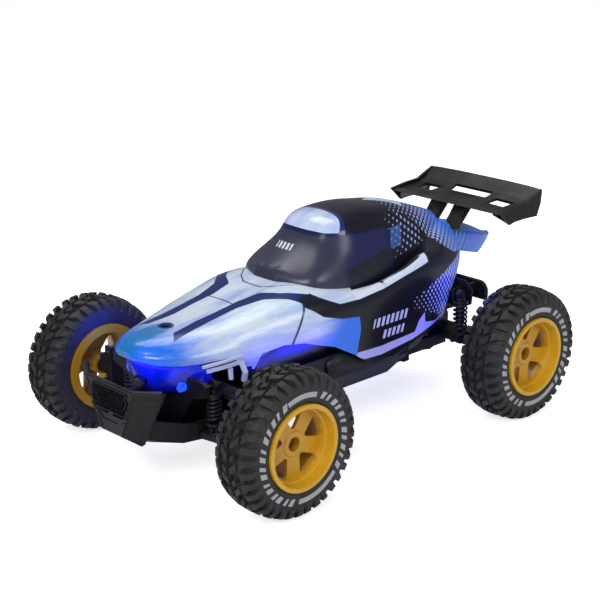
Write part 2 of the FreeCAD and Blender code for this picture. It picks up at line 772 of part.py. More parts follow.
def make_rear_tower():
    """Rear frame: two rails from the tub carry a wide round-shouldered plate behind the axle."""
    body = new_body()
    sketch = new_sketch(body, "XZ_Plane")
    half, top = S.tower_half_width - 7.0, S.tower_top
    draw_rounded(sketch, [(-half, 73.0), (half, 73.0), (half, top - 7.0), (-half, top - 7.0)], 7.0)
    pad(body, sketch, 3.0, symmetric=True)
    place(body, 0, REAR + 11.0, 0)
    trim = span_box((-S.tower_half_width, S.tower_half_width), (REAR + 8, REAR + 14), (60, 70))
    plate_cut = cut(body, trim)
    rails = [side_box(side, (31, 35), (TUB_REAR - 6.0, REAR + 12.5), (62, 68)) for side in (1, -1)]
    posts = [side_box(side, (31, 35), (REAR + 9.5, REAR + 12.5), (62, 76)) for side in (1, -1)]
    cross = span_box((-S.tub_half_width, S.tub_half_width), (TUB_REAR - 6.0, TUB_REAR - 0.1), (S.tub_top, 66))
    x = S.rear_shock_offset
    arms = [side_box(side, (x - 5.8, x - 3.5), (REAR_SHOCK_Y - 3, REAR + 10), (S.rear_shock_head - 3.5,
            S.rear_shock_head + 3.5)) for side in (1, -1)]
    pins = [rod(outward(side), side * (x - 4), REAR_SHOCK_Y, S.rear_shock_head, 6.4, 1.4) for side in (1, -1)]
    deck_posts = [rod("Z", side * 33.0, PIVOT_Y + 16.0, 64, level(104.5) - 64.0, 3.0) for side in (1, -1)]
    node("rear_shock_tower", fuse(plate_cut, *rails, *posts, cross, *arms, *pins, *deck_posts))


def make_wing(tail):
    """Rear wing: a cambered plane with three slots, two end plates and two struts."""
    width = 2 * S.wing_half_width
    body = new_body()
    sketch = new_sketch(body, "YZ_Plane")
    draw_polygon(sketch, [(28.5, 123.4), (44.5, 125.8), (60.5, 130.2), (72.5, 132.6), (72.5, 135.2),
                          (60.5, 132.8), (44.5, 128.6), (28.5, 125.6)])
    pad(body, sketch, width - 1.0, symmetric=True)
    place(body, 0, REAR, 0)
    slots = [box(x, REAR + 51.0, 128, w, 12, 20) for x, w in ((0, 28), (31, 17), (-31, 17))]
    plane = cut(body, *slots)
    pieces = [plane]
    for side in SIDES.values():
        end = new_body()
        outline = new_sketch(end, "YZ_Plane")
        draw_polygon(outline, [(28.5, 124.5), (44.5, 129.6), (72.5, 136.4), (74.0, 128.0), (66.5, 121.0),
                               (41.0, 115.4), (34.0, 119.6)])
        pad(end, outline, 2.4, symmetric=True)
        place(end, side * (S.wing_half_width - 1.2), REAR, 0)
        pieces.append(end)
        strut = new_body()
        outline = new_sketch(strut, "YZ_Plane")
        draw_polygon(outline, [(18.0, 110.0), (27.0, 109.0), (33.0, 114.8), (43.0, 127.4), (31.0, 125.2),
                               (21.0, 117.0)])
        pad(strut, outline, 3.0, symmetric=True)
        place(strut, side * 10.0, REAR, 0)
        pieces.append(cut(strut, feature(tail)))
    node("rear_wing", fuse(*pieces))


def make_lights():
    """Lamp lenses: two ahead of the tower, two on the tub behind the front wheels, two at the rear."""
    lenses = []
    for side in SIDES.values():
        lenses.append(rod("-Y", side * 24.0, FRONT - 19.02, 65.0, 3.0, 3.2))
        lenses.append(rod(outward(side), side * (S.tub_half_width + 0.02), TUB_FRONT + 30.0, 57.0, 2.0, 3.2))
        lenses.append(rod("-Y", side * 26.0, REAR + 9.48, 76.0, 3.0, 3.2))
    node("led_lenses", group(*lenses))


# ---------------------------------------------------------------- steering

def make_servo():
    case = span_box((-11, 11), (TUB_FRONT + 2.4, TUB_FRONT + 2.4 + 21), (S.floor_height + S.tub_wall, 40.0))
    spline = rod("Z", 0, horn_axis_y(), 39.0, S.steer_level - 5.75 - S.side_gap - 39.0, 2.4)
    node("steering_servo", fuse(case, spline))


def horn_axis_y():
    return FRONT + S.steer_arm + 1.5 + S.horn_arm


def make_horn():
    """Servo horn below the rack, its pin standing in the rack's slot."""
    y = horn_axis_y()
    level_low = S.steer_level - 5.75
    hub = rod("Z", 0, y, level_low, 2.5, 3.6)
    arm = span_box((-2, 2), (y - S.horn_arm, y), (level_low, level_low + 2.5))
    tip = rod("Z", 0, y - S.horn_arm, level_low, 2.5, 2.0)
    pin = rod("Z", 0, y - S.horn_arm, level_low, 7.4, 1.2)
    node("servo_horn", fuse(hub, arm, tip, pin))


def make_rack():
    bar = span_box((-17.9, 17.9), (FRONT + 9.5, FRONT + 18.5), (S.steer_level - 2.25, S.steer_level + 2.25))
    pin_y = horn_axis_y() - S.horn_arm
    slot = span_box((-1.5, 1.5), (pin_y - 2.0, pin_y + 2.4), (S.steer_level - 4, S.steer_level + 4))
    ball_y = FRONT + S.steer_arm
    x = S.kingpin_offset - (S.arm_outer - S.arm_inner)
    pieces = []
    for side in SIDES.values():
        level = (S.steer_level - 2.25, S.steer_level + 2.25)
        pieces.append(side_box(side, (14, x + 2.6), (ball_y + 2.0, FRONT + 18.5), level))
        pieces.append(rod("-Y", side * x, ball_y + 2.5, S.steer_level, 4.6, 1.2))
    node("steering_rack", cut(fuse(bar, *pieces), slot))


def make_tie_rods():
    ball_y = FRONT + S.steer_arm
    inner = S.kingpin_offset - (S.arm_outer - S.arm_inner)
    outer = S.kingpin_offset
    for name, side in SIDES.items():
        eye = rod("Y", side * inner, ball_y - 1.5, S.steer_level, 3.0, 2.5)
        bore = rod("Y", side * inner, ball_y - 2.5, S.steer_level, 5.0, 1.2 + S.running_fit)
        link = rod(outward(side), side * (inner + 1.8), ball_y, S.steer_level, outer - inner - 5.0, 1.3)
        ring = rod("Z", side * outer, ball_y, S.steer_level - 1.4, 2.8, 4.2)
        hole = rod("Z", side * outer, ball_y, S.steer_level - 2.4, 4.8, 1.4 + S.open_gap)
        node(f"tie_rod_{name}", cut(fuse(eye, link, ring), bore, hole))


# ---------------------------------------------------------------- front corners

def make_arm(name, side, height, inner_span, outer_span, thickness, lug=False):
    """A hinged arm: a tapering plate between a long inner and a short outer barrel."""
    body = new_body()
    sketch = new_sketch(body, "XY_Plane")
    near, far = side * (S.arm_inner + 1.0), side * (S.arm_outer - 1.0)
    points = [(near, inner_span[0]), (near, inner_span[1]), (far, outer_span[1]), (far, outer_span[0])]
    draw_polygon(sketch, points)
    pad(body, sketch, thickness, symmetric=True)
    slot = new_sketch(body, "XY_Plane")
    ends = (S.arm_inner + 9.0, S.arm_outer - 12.0)
    spans = [(inner_span[0] * 0.45, inner_span[1] * 0.45), (outer_span[0] * 0.5, outer_span[1] * 0.5)]
    draw_polygon(slot, [(side * ends[0], spans[0][0]), (side * ends[0], spans[0][1]),
                        (side * ends[1], spans[1][1]), (side * ends[1], spans[1][0])])
    pocket(body, slot, 1.2, reverse=True)
    place(body, 0, FRONT, height)
    pieces = [body]
    bores = []
    for x, span in ((S.arm_inner, inner_span), (S.arm_outer, outer_span)):
        pieces.append(rod("Y", side * x, FRONT + span[0], height, span[1] - span[0], S.barrel))
        length = span[1] - span[0] + 2
        bores.append(rod("Y", side * x, FRONT + span[0] - 1, height, length, S.hinge_pin + S.running_fit))
    if lug:
        x = S.front_shock_offset
        pieces.append(side_box(side, (x - 3, x + 3), (FRONT_SHOCK_Y + 2.0, FRONT_SHOCK_Y + 4.6),
                               (height, S.front_shock_foot + 2.4)))
        pieces.append(rod("-Y", side * x, FRONT_SHOCK_Y + 3.0, S.front_shock_foot, 5.2, 1.2))
    node(name, cut(fuse(*pieces), *bores))


def make_carrier(name, side):
    """Hub carrier: ears round both arms' barrels, two lugs for the kingpins and a web between."""
    pieces = []
    near = S.arm_outer - 3.3
    for height, lug in ((S.arm_low, (35.6, 38.8)), (S.arm_high, (53.2, 56.4))):
        low, high = (height - 3.3, lug[1]) if height is S.arm_low else (lug[0], height + 3.3)
        for y_range in ((FRONT - 7.4, FRONT - 5.3), (FRONT + 5.3, FRONT + 7.4)):
            pieces.append(side_box(side, (near, S.arm_outer + 3.3), y_range, (low, high)))
        pieces.append(side_box(side, (near, S.kingpin_offset + 3.6), (FRONT - 7.4, FRONT + 7.4), lug))
    pieces.append(side_box(side, (near, near + 2.5), (FRONT - 7.4, FRONT + 7.4), (38, 54)))
    levels = (S.arm_low, S.arm_high)
    bores = [rod("Y", side * S.arm_outer, FRONT - 8, height, 16, S.hinge_pin) for height in levels]
    bores.append(rod("Z", side * S.kingpin_offset, FRONT, 34, 24, S.kingpin))
    node(f"carrier_{name}", cut(fuse(*pieces), *bores))
    pins = [rod("Y", side * S.arm_outer, FRONT - 7.9, height, 15.8, S.hinge_pin) for height in levels]
    pins.append(rod("Z", side * S.kingpin_offset, FRONT, 35.2, 7.0, S.kingpin))
    pins.append(rod("Z", side * S.kingpin_offset, FRONT, 49.8, 7.0, S.kingpin))
    node(f"carrier_pins_{name}", group(*pins))


def make_knuckle(name, side):
    """Steering knuckle: an upright between the kingpins, a stub for the wheel and the steering arm."""
    x = S.kingpin_offset
    hub_face = WHEEL_X - S.hub_back - 0.5
    upright = rod("Z", side * x, FRONT, 39.2, 13.6, 4.8)
    stub = rod(outward(side), side * x, FRONT, AXLE_Z, hub_face - x, 4.8)
    arm = side_box(side, (x - 1.5, x + 1.5), (FRONT, FRONT + S.steer_arm), (43, 46))
    boss = rod("Z", side * x, FRONT + S.steer_arm, 43, 3, 2.4)
    stud = rod("Z", side * x, FRONT + S.steer_arm, 43, 8.4, 1.4)
    kingpins = rod("Z", side * x, FRONT, 34, 8.4, S.kingpin + S.running_fit)
    upper = rod("Z", side * x, FRONT, 49.6, 8.4, S.kingpin + S.running_fit)
    bore = rod(outward(side), side * (x + 2.0), FRONT, AXLE_Z, hub_face - x, S.axle_radius)
    node(f"knuckle_{name}", cut(fuse(upright, stub, arm, boss, stud), kingpins, upper, bore))
    screw_length = WHEEL_X - S.well_floor + 0.4 - x - 2.2
    screw = rod(outward(side), side * (x + 2.2), FRONT, AXLE_Z, screw_length, S.axle_radius)
    node(f"axle_screw_{name}", fuse(screw, screw_head(side, FRONT, WHEEL_X - S.well_floor + 0.3)))


def screw_head(side, y, x):
    """Hexagon-like nut: a washer, a body and a domed end."""
    washer = rod(outward(side), side * x, y, AXLE_Z, 0.5, 3.6)
    nut = rod(outward(side), side * x, y, AXLE_Z, 2.2, 3.0)
    end = rod(outward(side), side * x, y, AXLE_Z, 3.2, 1.9)
    return fuse(washer, nut, end)


def make_wheel(place_name, name, side, y, bore_radius):
    """A rim and its tyre, turned about the axle."""
    rim = new_body()

    def u(value):
        return side * Length.of(value)

    half = S.rim_width / 2
    seat = S.rim_seat_radius
    inside = seat - S.rim_wall
    disc_front = half - S.disc_depth
    disc_back = disc_front - S.disc_thickness
    profile = new_sketch(rim, "XZ_Plane")
    draw_polygon(profile, [
        (u(half), S.outer_lip_radius - 2.6), (u(half), S.outer_lip_radius),
        (u(half - S.rim_lip), S.outer_lip_radius), (u(half - S.rim_lip), seat),
        (u(-half + S.rim_lip), seat), (u(-half + S.rim_lip), S.inner_lip_radius),
        (u(-half), S.inner_lip_radius), (u(-half), inside), (u(disc_back - 1.6), inside),
        (u(disc_back), inside - 1.6), (u(disc_back), S.hub_radius), (u(-S.hub_back), S.hub_radius),
        (u(-S.hub_back), bore_radius), (u(-S.well_floor), bore_radius), (u(-S.well_floor), S.well_radius),
        (u(disc_front + 0.8), S.well_radius), (u(disc_front + 0.8), S.hub_radius + 0.6),
        (u(disc_front), S.hub_radius + 1.6), (u(disc_front), inside - 2.4),
        (u(disc_front + 3.6), inside - 1.2), (u(disc_front + 4.0), inside - 0.2),
    ])
    revolve(rim, profile, "X_Axis")
    window = new_sketch(rim, "YZ_Plane", u(disc_back - 2.0))
    low, high = S.window_radius - S.window_half_height, S.window_radius + S.window_half_height
    wide = S.window_half_width
    draw_rounded(window, [(0, low), (wide, high), (-wide, high)], S.window_corner)
    hole = pocket(rim, window, S.disc_thickness + 4.0, reverse=side > 0)
    doc.recompute()
    polar(rim, hole, "X_Axis", 5)
    node(f"rim_{place_name}_{name}", place(rim, side * WHEEL_X, y, AXLE_Z))
    make_tyre(f"tyre_{place_name}_{name}", side, y)


def make_tyre(name, side, y):
    """Hollow tyre: beads between the rim's lips, bulged side walls and a crowned tread."""
    tyre = new_body()

    def u(value):
        return side * Length.of(value)

    bead = S.rim_width / 2 - S.rim_lip
    wide = S.tyre_width / 2
    outer = S.tyre_diameter / 2
    seat = S.rim_seat_radius
    wall = 2.4
    profile = new_sketch(tyre, "XZ_Plane")
    draw_polygon(profile, [
        (u(bead), seat), (u(bead), S.outer_lip_radius + 0.4), (u(wide), S.outer_lip_radius + 3.4),
        (u(wide), outer - 9.0), (u(wide - 1.6), outer - 3.6), (u(wide - 5.0), outer - 0.8),
        (u(wide - 9.5), outer), (u(-wide + 9.5), outer), (u(-wide + 5.0), outer - 0.8),
        (u(-wide + 1.6), outer - 3.6), (u(-wide), outer - 9.0), (u(-wide), S.inner_lip_radius + 2.6),
        (u(-bead), S.inner_lip_radius + 0.3), (u(-bead), seat), (u(-bead + 3.4), seat),
        (u(-bead + 3.0), S.inner_lip_radius + 2.6), (u(-wide + wall + 1.0), outer - 9.0),
        (u(-wide + wall + 5.0), outer - 5.4), (u(wide - wall - 5.0), outer - 5.4),
        (u(wide - wall - 1.0), outer - 9.0), (u(bead - 3.0), S.outer_lip_radius + 3.4), (u(bead - 3.4), seat),
    ])
    revolve(tyre, profile, "X_Axis")
    node(name, place(tyre, side * WHEEL_X, y, AXLE_Z))


# ---------------------------------------------------------------- dampers

def make_spring(x, y, low, high, turns):
    """A coil spring standing between two levels."""
    wire = S.spring_wire.value
    rise = high.value - low.value - 2 * wire
    helix = Part.makeHelix(rise / turns, rise, S.spring_radius.value)
    start = Vector(S.spring_radius.value, 0, 0)
    circle = Part.Wire(Part.makeCircle(wire, start, Vector(0, 1, 0)))
    coil = Part.Wire(helix.Edges).makePipeShell([circle], True, True)
    obj = feature(coil)
    obj.Placement = FreeCAD.Placement(Vector(x.value, y.value, low.value + wire), Rotation())
    return obj


def damper_body(axis, x, y, foot, head):
    """Upper half: an eye, a spring seat and a cylinder with a blind bore."""
    back = "Y" if axis == "Y" else outward(1)
    eye_start = (x, y - 1.5, head) if axis == "Y" else (x - 1.5, y, head)
    bore_start = (x, y - 3.0, head) if axis == "Y" else (x - 3.0, y, head)
    eye = rod(back, *eye_start, 3.0, 3.4)
    seat = rod("Z", x, y, head - 6.0, 1.6, 5.0)
    barrel = rod("Z", x, y, foot + 11.0, head - foot - 13.0, S.damper_radius)
    eye_bore = rod(back, *bore_start, 6.0, 1.4 + S.running_fit)
    bore = rod("Z", x, y, foot + 10.0, head - foot - 15.0, S.damper_rod + 0.3)
    return cut(fuse(eye, seat, barrel), eye_bore, bore)


def damper_rod(axis, x, y, foot, head):
    """Lower half: an open eye, a spring seat and the rod that slides in the cylinder."""
    back = "Y" if axis == "Y" else outward(1)
    eye_start = (x, y - 1.4, foot) if axis == "Y" else (x - 1.4, y, foot)
    bore_start = (x, y - 3.0, foot) if axis == "Y" else (x - 3.0, y, foot)
    eye = rod(back, *eye_start, 2.8, 3.9)
    seat = rod("Z", x, y, foot + 3.2, 1.6, 5.0)
    stem = rod("Z", x, y, foot + 3.2, head - foot - 13.4, S.damper_rod)
    eye_bore = rod(back, *bore_start, 6.0, 1.2 + S.open_gap)
    return cut(fuse(eye, seat, stem), eye_bore)


def make_dampers():
    for name, side in SIDES.items():
        x = side * S.front_shock_offset
        foot, head = S.front_shock_foot, S.front_shock_head
        node(f"front_damper_{name}", damper_body("Y", x, FRONT_SHOCK_Y, foot, head))
        node(f"front_damper_rod_{name}", damper_rod("Y", x, FRONT_SHOCK_Y, foot, head))
        node(f"front_spring_{name}", make_spring(x, FRONT_SHOCK_Y, foot + 4.85, head - 6.05, 6))
    foot, head = S.rear_shock_foot, S.rear_shock_head
    sides = [side * S.rear_shock_offset for side in SIDES.values()]
    node("rear_dampers", group(*[damper_body("X", x, REAR_SHOCK_Y, foot, head) for x in sides]))
    node("rear_damper_rods", group(*[damper_rod("X", x, REAR_SHOCK_Y, foot, head) for x in sides]))
    springs = [make_spring(x, REAR_SHOCK_Y, foot + 4.85, head - 6.05, 6) for x in sides]
    node("rear_springs", group(*springs))


# ---------------------------------------------------------------- rear axle

def counter_place():
    reach = S.gear_module * (TEETH["axle"] + TEETH["counter_small"]) / 2
    return REAR - reach * math.cos(math.radians(20)), AXLE_Z + reach * math.sin(math.radians(20))


def motor_place():
    y, z = counter_place()
    reach = S.gear_module * (TEETH["counter_large"] + TEETH["pinion"]) / 2
    return y - reach * math.cos(math.radians(13)), z - reach * math.sin(math.radians(13))


def gear(x_range, y, z, teeth, phase, bore):
    """A spur gear about an axis along X: a core and a ring of tapering teeth."""
    x0, x1 = x_range
    module = S.gear_module
    root = module * (teeth / 2 - 1.25)
    pitch = module * teeth / 2
    tip = module * (teeth / 2 + 1)
    body = doc.addObject("PartDesign::Body", "toothed")
    disc = new_sketch(body, "YZ_Plane")
    draw_circle(disc, 0, 0, root)
    draw_circle(disc, 0, 0, bore)
    pad(body, disc, x1 - x0)
    tooth = new_sketch(body, "YZ_Plane")
    wide, middle, narrow = module * 0.95, module * 0.70, module * 0.32
    draw_polygon(tooth, [(-wide, root - 0.4), (wide, root - 0.4), (middle, pitch), (narrow, tip),
                         (-narrow, tip), (-middle, pitch)])
    first = pad(body, tooth, x1 - x0)
    doc.recompute()
    polar(body, first, "X_Axis", teeth)
    body.Placement = FreeCAD.Placement(Vector(), Rotation(Vector(1, 0, 0), phase))
    return place(body, x0, y, z)


def make_gears():
    """Two-stage reduction: motor pinion, counter gear and the gear on the axle."""
    cy, cz = counter_place()
    my, mz = motor_place()
    bore = S.kingpin + S.running_fit
    axle_turn, small_turn = mesh_turns(160.0, TEETH["counter_small"])
    node("axle_gear", gear((4.0, 7.4), REAR, AXLE_Z, TEETH["axle"], axle_turn, S.axle_radius))
    small = gear((4.0, 7.6), cy, cz, TEETH["counter_small"], small_turn, bore)
    large_turn, pinion_turn = mesh_turns(193.0, TEETH["pinion"])
    large = gear((7.6, 10.4), cy, cz, TEETH["counter_large"], large_turn, bore)
    node("counter_gear", fuse(small, large))
    pinion = gear((7.8, 10.8), my, mz, TEETH["pinion"], pinion_turn, 0.9)
    node("motor_pinion", fuse(pinion, rod("X", 1.4, my, mz, 9.6, 0.9)))


def mesh_turns(direction, mate_teeth):
    """Turns that bring a tooth of one gear and a gap of its mate onto the line between them.

    direction is the angle in the YZ plane, from +Y towards +Z, from the first gear to its mate.
    A gear at zero turn has a tooth at +Z, which is 90 degrees.
    """
    return direction - 90.0, direction + 90.0 + 180.0 / mate_teeth


def gearbox_outline(grow):
    """Side outline of the gearbox in the YZ plane, counted from the axle."""
    points = [
        (-46.5, -7.5), (-47.0, 7.5), (-38.5, 17.5), (-27.0, 23.4), (-13.0, 23.4), (2.0, 18.6),
        (12.2, 14.6), (18.6, 4.6), (18.6, -4.6), (12.2, -14.6), (0.0, -18.6), (-12.0, -16.6),
        (-22.0, -9.6), (-34.0, -10.0),
    ]
    centre = Vector(-15.0, 1.0, 0)
    grown = []
    for y, z in points:
        away = Vector(y, z, 0) - centre
        scaled = centre + away * (1 + grow / away.Length)
        grown.append((scaled.x, scaled.y))
    return grown


def make_axle_housing():
    """Swinging rear axle: gearbox, axle tubes, two trailing arms and the dampers' feet."""
    case = new_body()
    outline = new_sketch(case, "YZ_Plane")
    draw_polygon(outline, gearbox_outline(0.0))
    pad(case, outline, 12.6)
    hollow = new_sketch(case, "YZ_Plane", 2.0)
    draw_polygon(hollow, gearbox_outline(-1.8))
    pocket(case, hollow, 14.0, reverse=True)
    place(case, 1.0, REAR, AXLE_Z)
    tube_end = WHEEL_X - S.hub_back - 0.5
    pieces = [case, rod("-X", 3.0, REAR, AXLE_Z, tube_end + 3.0, S.tube_radius)]
    x = S.rear_shock_offset
    bores = [rod("X", -tube_end - 1, REAR, AXLE_Z, 2 * tube_end + 2, S.axle_radius + 0.3)]
    for side in SIDES.values():
        pieces.append(side_box(side, (27.4, 31.4), (PIVOT_Y, REAR - 2.0), (S.swing_pivot_height - 3.6,
                               S.swing_pivot_height + 4.0)))
        pieces.append(rod(outward(side), side * 27.2, PIVOT_Y, S.swing_pivot_height, 5.4, 3.8))
        pieces.append(side_box(side, (x - 5.8, x - 3.5), (REAR_SHOCK_Y - 3, REAR - 2), (43.5, 48.6)))
        pieces.append(rod(outward(side), side * (x - 4), REAR_SHOCK_Y, S.rear_shock_foot, 6.2, 1.2))
        bore = S.hinge_pin + S.running_fit
        bores.append(rod(outward(side), side * 26.0, PIVOT_Y, S.swing_pivot_height, 8.0, bore))
    my, mz = motor_place()
    bores.append(rod("X", 0.0, my, mz, 4.0, 3.0))
    right_of_cover = rod("X", 15.65, REAR, AXLE_Z, tube_end - 15.65, S.tube_radius)
    brace = span_box((15.65, 27.5), (REAR - 6.0, REAR - 3.0), (AXLE_Z - 5.0, AXLE_Z + 5.0))
    tie = span_box((-27.5, -1.0), (REAR - 8.0, REAR - 3.0), (AXLE_Z - 5.0, AXLE_Z + 5.0))
    bridge_y = (PIVOT_Y + 4.5, PIVOT_Y + 10.0)
    bridge = span_box((1.0, 31.4), bridge_y, (32.6, 35.4))
    bridge_ends = [span_box(x_range, bridge_y, (32.6, 38.0)) for x_range in ((1.0, 13.3), (27.4, 31.4))]
    node("axle_housing", cut(fuse(*pieces, right_of_cover, brace, tie, bridge, *bridge_ends), *bores))
    counter_y, counter_z = counter_place()
    lid = new_body()
    face = new_sketch(lid, "YZ_Plane")
    draw_polygon(face, gearbox_outline(0.0))
    pad(lid, face, 2.0)
    place(lid, 13.6, REAR, AXLE_Z)
    spindle = rod("-X", 14.0, counter_y, counter_z, 11.0, S.kingpin)
    node("gear_cover", cut(fuse(lid, spindle), rod("X", 10, REAR, AXLE_Z, 10, S.axle_radius + 0.3)))
    make_motor(my, mz)


def make_motor(y, z):
    can = rod("-X", 0.95, y, z, 25.0, 9.8)
    nose = rod("X", 0.9, y, z, 0.5, 2.6)
    tail = rod("-X", -24.0, y, z, 3.0, 3.6)
    flats = [box(-12, y, z + side * 14.0, 30, 30, 12.4) for side in (1, -1)]
    shaft_hole = rod("X", 0.2, y, z, 4.0, 1.2)
    node("drive_motor", cut(fuse(cut(can, *flats), nose, tail), shaft_hole))


def make_axle():
    """The turning rear axle and its wheel nuts."""
    half = WHEEL_X - S.well_floor + 0.4
    node("axle_shaft", rod("X", -half, REAR, AXLE_Z, 2 * half, S.axle_radius))
    nuts = [screw_head(side, REAR, half) for side in SIDES.values()]
    node("wheel_nuts", group(*nuts))


def make_power_switch():
    """Slide switch under the tub: a ribbed button in the floor's slot and its foot inside."""
    y = TUB_REAR - 13.0
    inside = S.floor_height + S.tub_wall
    button = span_box((-3.6, -0.4), (y - 2.0, y + 2.0), (S.floor_height + 0.2, inside + 0.4))
    foot = span_box((-5.0, 1.0), (y - 4.0, y + 4.0), (inside + 0.3, inside + 2.3))
    node("power_switch", fuse(button, foot))


# ---------------------------------------------------------------- assembly and output

def build():
    tail = make_body_panels()
    make_tub()
    make_side_guards()
    make_battery_bay()
    make_screws()
    make_bulkhead()
    make_hinge_pins()
    make_front_tower()
    make_bumper()
    make_rear_tower()
    make_wing(tail)
    make_lights()
    make_servo()
    make_horn()
    make_rack()
    make_tie_rods()
    for name, side in SIDES.items():
        make_arm(f"lower_arm_{name}", side, S.arm_low, (-13.0, 13.0), (-4.5, 4.5), S.arm_thickness, lug=True)
        make_arm(f"upper_arm_{name}", side, S.arm_high, (-3.0, 10.0), (-4.5, 4.5), S.arm_thickness - 1.0)
        make_carrier(name, side)
        make_knuckle(name, side)
        make_wheel("front", name, side, FRONT, S.axle_radius + S.running_fit)
        make_wheel("rear", name, side, REAR, S.axle_radius)
    make_dampers()
    make_axle_housing()
    make_gears()
    make_axle()
    make_power_switch()


def check_and_export():
    doc.recompute()
    for obj in doc.Objects:
        for state in obj.State:
            if state in ("Invalid", "Error"):
                raise RuntimeError(f"{obj.Label} did not build")
    for name, obj in NODES.items():
        if obj.Shape.isNull() or not obj.Shape.isValid() or obj.Shape.Volume <= 0:
            raise RuntimeError(f"{name} has no sound shape")
    os.makedirs("parts", exist_ok=True)
    for name, obj in NODES.items():
        obj.Shape.exportStep(f"parts/{name}.step")
        print(name, len(obj.Shape.Solids), round(obj.Shape.Volume))


build()
check_and_export()
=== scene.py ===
import json
import math

import bmesh
import bpy
from mathutils import Matrix, Vector


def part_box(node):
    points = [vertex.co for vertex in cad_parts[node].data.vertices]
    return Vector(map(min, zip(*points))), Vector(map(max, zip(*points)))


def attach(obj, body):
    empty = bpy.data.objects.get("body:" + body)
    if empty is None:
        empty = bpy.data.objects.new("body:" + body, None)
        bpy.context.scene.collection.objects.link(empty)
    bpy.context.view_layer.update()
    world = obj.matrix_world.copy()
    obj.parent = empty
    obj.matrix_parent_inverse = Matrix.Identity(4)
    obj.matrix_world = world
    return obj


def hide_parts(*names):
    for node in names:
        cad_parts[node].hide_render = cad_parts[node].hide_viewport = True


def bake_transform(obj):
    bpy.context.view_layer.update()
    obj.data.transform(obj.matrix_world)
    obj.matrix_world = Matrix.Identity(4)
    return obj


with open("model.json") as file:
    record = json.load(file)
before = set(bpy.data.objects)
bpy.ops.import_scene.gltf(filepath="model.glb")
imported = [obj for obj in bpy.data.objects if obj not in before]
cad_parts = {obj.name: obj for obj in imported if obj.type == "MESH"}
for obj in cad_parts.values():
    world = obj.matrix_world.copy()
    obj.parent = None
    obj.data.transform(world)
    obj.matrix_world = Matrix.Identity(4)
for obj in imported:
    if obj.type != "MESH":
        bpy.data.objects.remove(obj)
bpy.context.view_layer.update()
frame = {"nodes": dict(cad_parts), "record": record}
nodes = frame["nodes"]

MM = 0.001
FRONT_AXLE = -116.5
REAR_AXLE = 95.5
WHEEL_OFFSET = 92.8
TYRE_RADIUS = 45.0
TYRE_HALF_WIDTH = 15.5
TREAD_PITCHES = 18
SIDES = {"left": 1, "right": -1}


# ---- shader arithmetic

class Field:
    """A number that varies over a surface and takes part in plain arithmetic."""

    def __init__(self, tree, socket):
        self.tree = tree
        self.socket = socket

    def __add__(self, other):
        return reckon(self.tree, "ADD", self, other)

    def __sub__(self, other):
        return reckon(self.tree, "SUBTRACT", self, other)

    def __rsub__(self, other):
        return reckon(self.tree, "SUBTRACT", other, self)

    def __mul__(self, other):
        return reckon(self.tree, "MULTIPLY", self, other)

    def __truediv__(self, other):
        return reckon(self.tree, "DIVIDE", self, other)

    __radd__ = __add__
    __rmul__ = __mul__


def plug(tree, value, socket):
    if isinstance(value, Field):
        tree.links.new(value.socket, socket)
    elif isinstance(value, bpy.types.NodeSocket):
        tree.links.new(value, socket)
    else:
        socket.default_value = value


def fill(tree, node, **values):
    """Sets or links a node's inputs; an underscore in a name stands for a space."""
    for label, value in values.items():
        plug(tree, value, node.inputs[label.replace("_", " ")])


def reckon(tree, operation, *values):
    node = tree.nodes.new("ShaderNodeMath")
    node.operation = operation
    for value, socket in zip(values, node.inputs):
        plug(tree, value, socket)
    return Field(tree, node.outputs[0])


def size_of(field):
    return reckon(field.tree, "ABSOLUTE", field)


def fraction(field):
    return reckon(field.tree, "FRACT", field)


def most(first, second):
    return reckon(first.tree, "MAXIMUM", first, second)


def ramp(field, low, high):
    """0 below low, 1 above high and smooth between; it falls where low is above high."""
    node = field.tree.nodes.new("ShaderNodeMapRange")
    node.interpolation_type = "SMOOTHSTEP"
    for value, socket in zip((field, low, high), node.inputs):
        plug(field.tree, value, socket)
    return Field(field.tree, node.outputs[0])


def above(field, level, blur=0.25):
    return ramp(field - level, -blur, blur)


def below(field, level, blur=0.25):
    return ramp(field - level, blur, -blur)


def between(field, low, high, blur=0.25):
    return above(field, low, blur) * below(field, high, blur)


def line_through(field, points):
    """The height, at this field's value, of a line drawn through the points."""
    tree = field.tree
    start, end = points[0][0], points[-1][0]
    heights = [height for _, height in points]
    low = min(heights)
    rise = max(max(heights) - low, 1e-6)
    node = tree.nodes.new("ShaderNodeFloatCurve")
    curve = node.mapping.curves[0]
    spots = [((place - start) / (end - start), (height - low) / rise) for place, height in points]
    curve.points[0].location = spots[0]
    curve.points[1].location = spots[-1]
    for spot in spots[1:-1]:
        curve.points.new(*spot)
    for point in curve.points:
        point.handle_type = "VECTOR"
    node.mapping.update()
    plug(tree, (field - start) / (end - start), node.inputs["Value"])
    return Field(tree, node.outputs["Value"]) * rise + low


def mix(factor, first, second):
    """Blend two colours."""
    tree = factor.tree
    node = tree.nodes.new("ShaderNodeMix")
    node.data_type = "RGBA"
    node.clamp_factor = True
    plug(tree, factor, node.inputs[0])
    for value, socket in ((first, node.inputs[6]), (second, node.inputs[7])):
        if isinstance(value, tuple):
            socket.default_value = (*value, 1.0)
        else:
            tree.links.new(value, socket)
    return node.outputs[2]


def place_in_mm(tree):
    """x, y and z on the object, in millimetres."""
    coordinates = tree.nodes.new("ShaderNodeTexCoord")
    scale = tree.nodes.new("ShaderNodeVectorMath")
    scale.operation = "SCALE"
    fill(tree, scale, Vector=coordinates.outputs["Object"], Scale=1 / MM)
    split = tree.nodes.new("ShaderNodeSeparateXYZ")
    tree.links.new(scale.outputs[0], split.inputs[0])
    return [Field(tree, socket) for socket in split.outputs], scale.outputs[0]


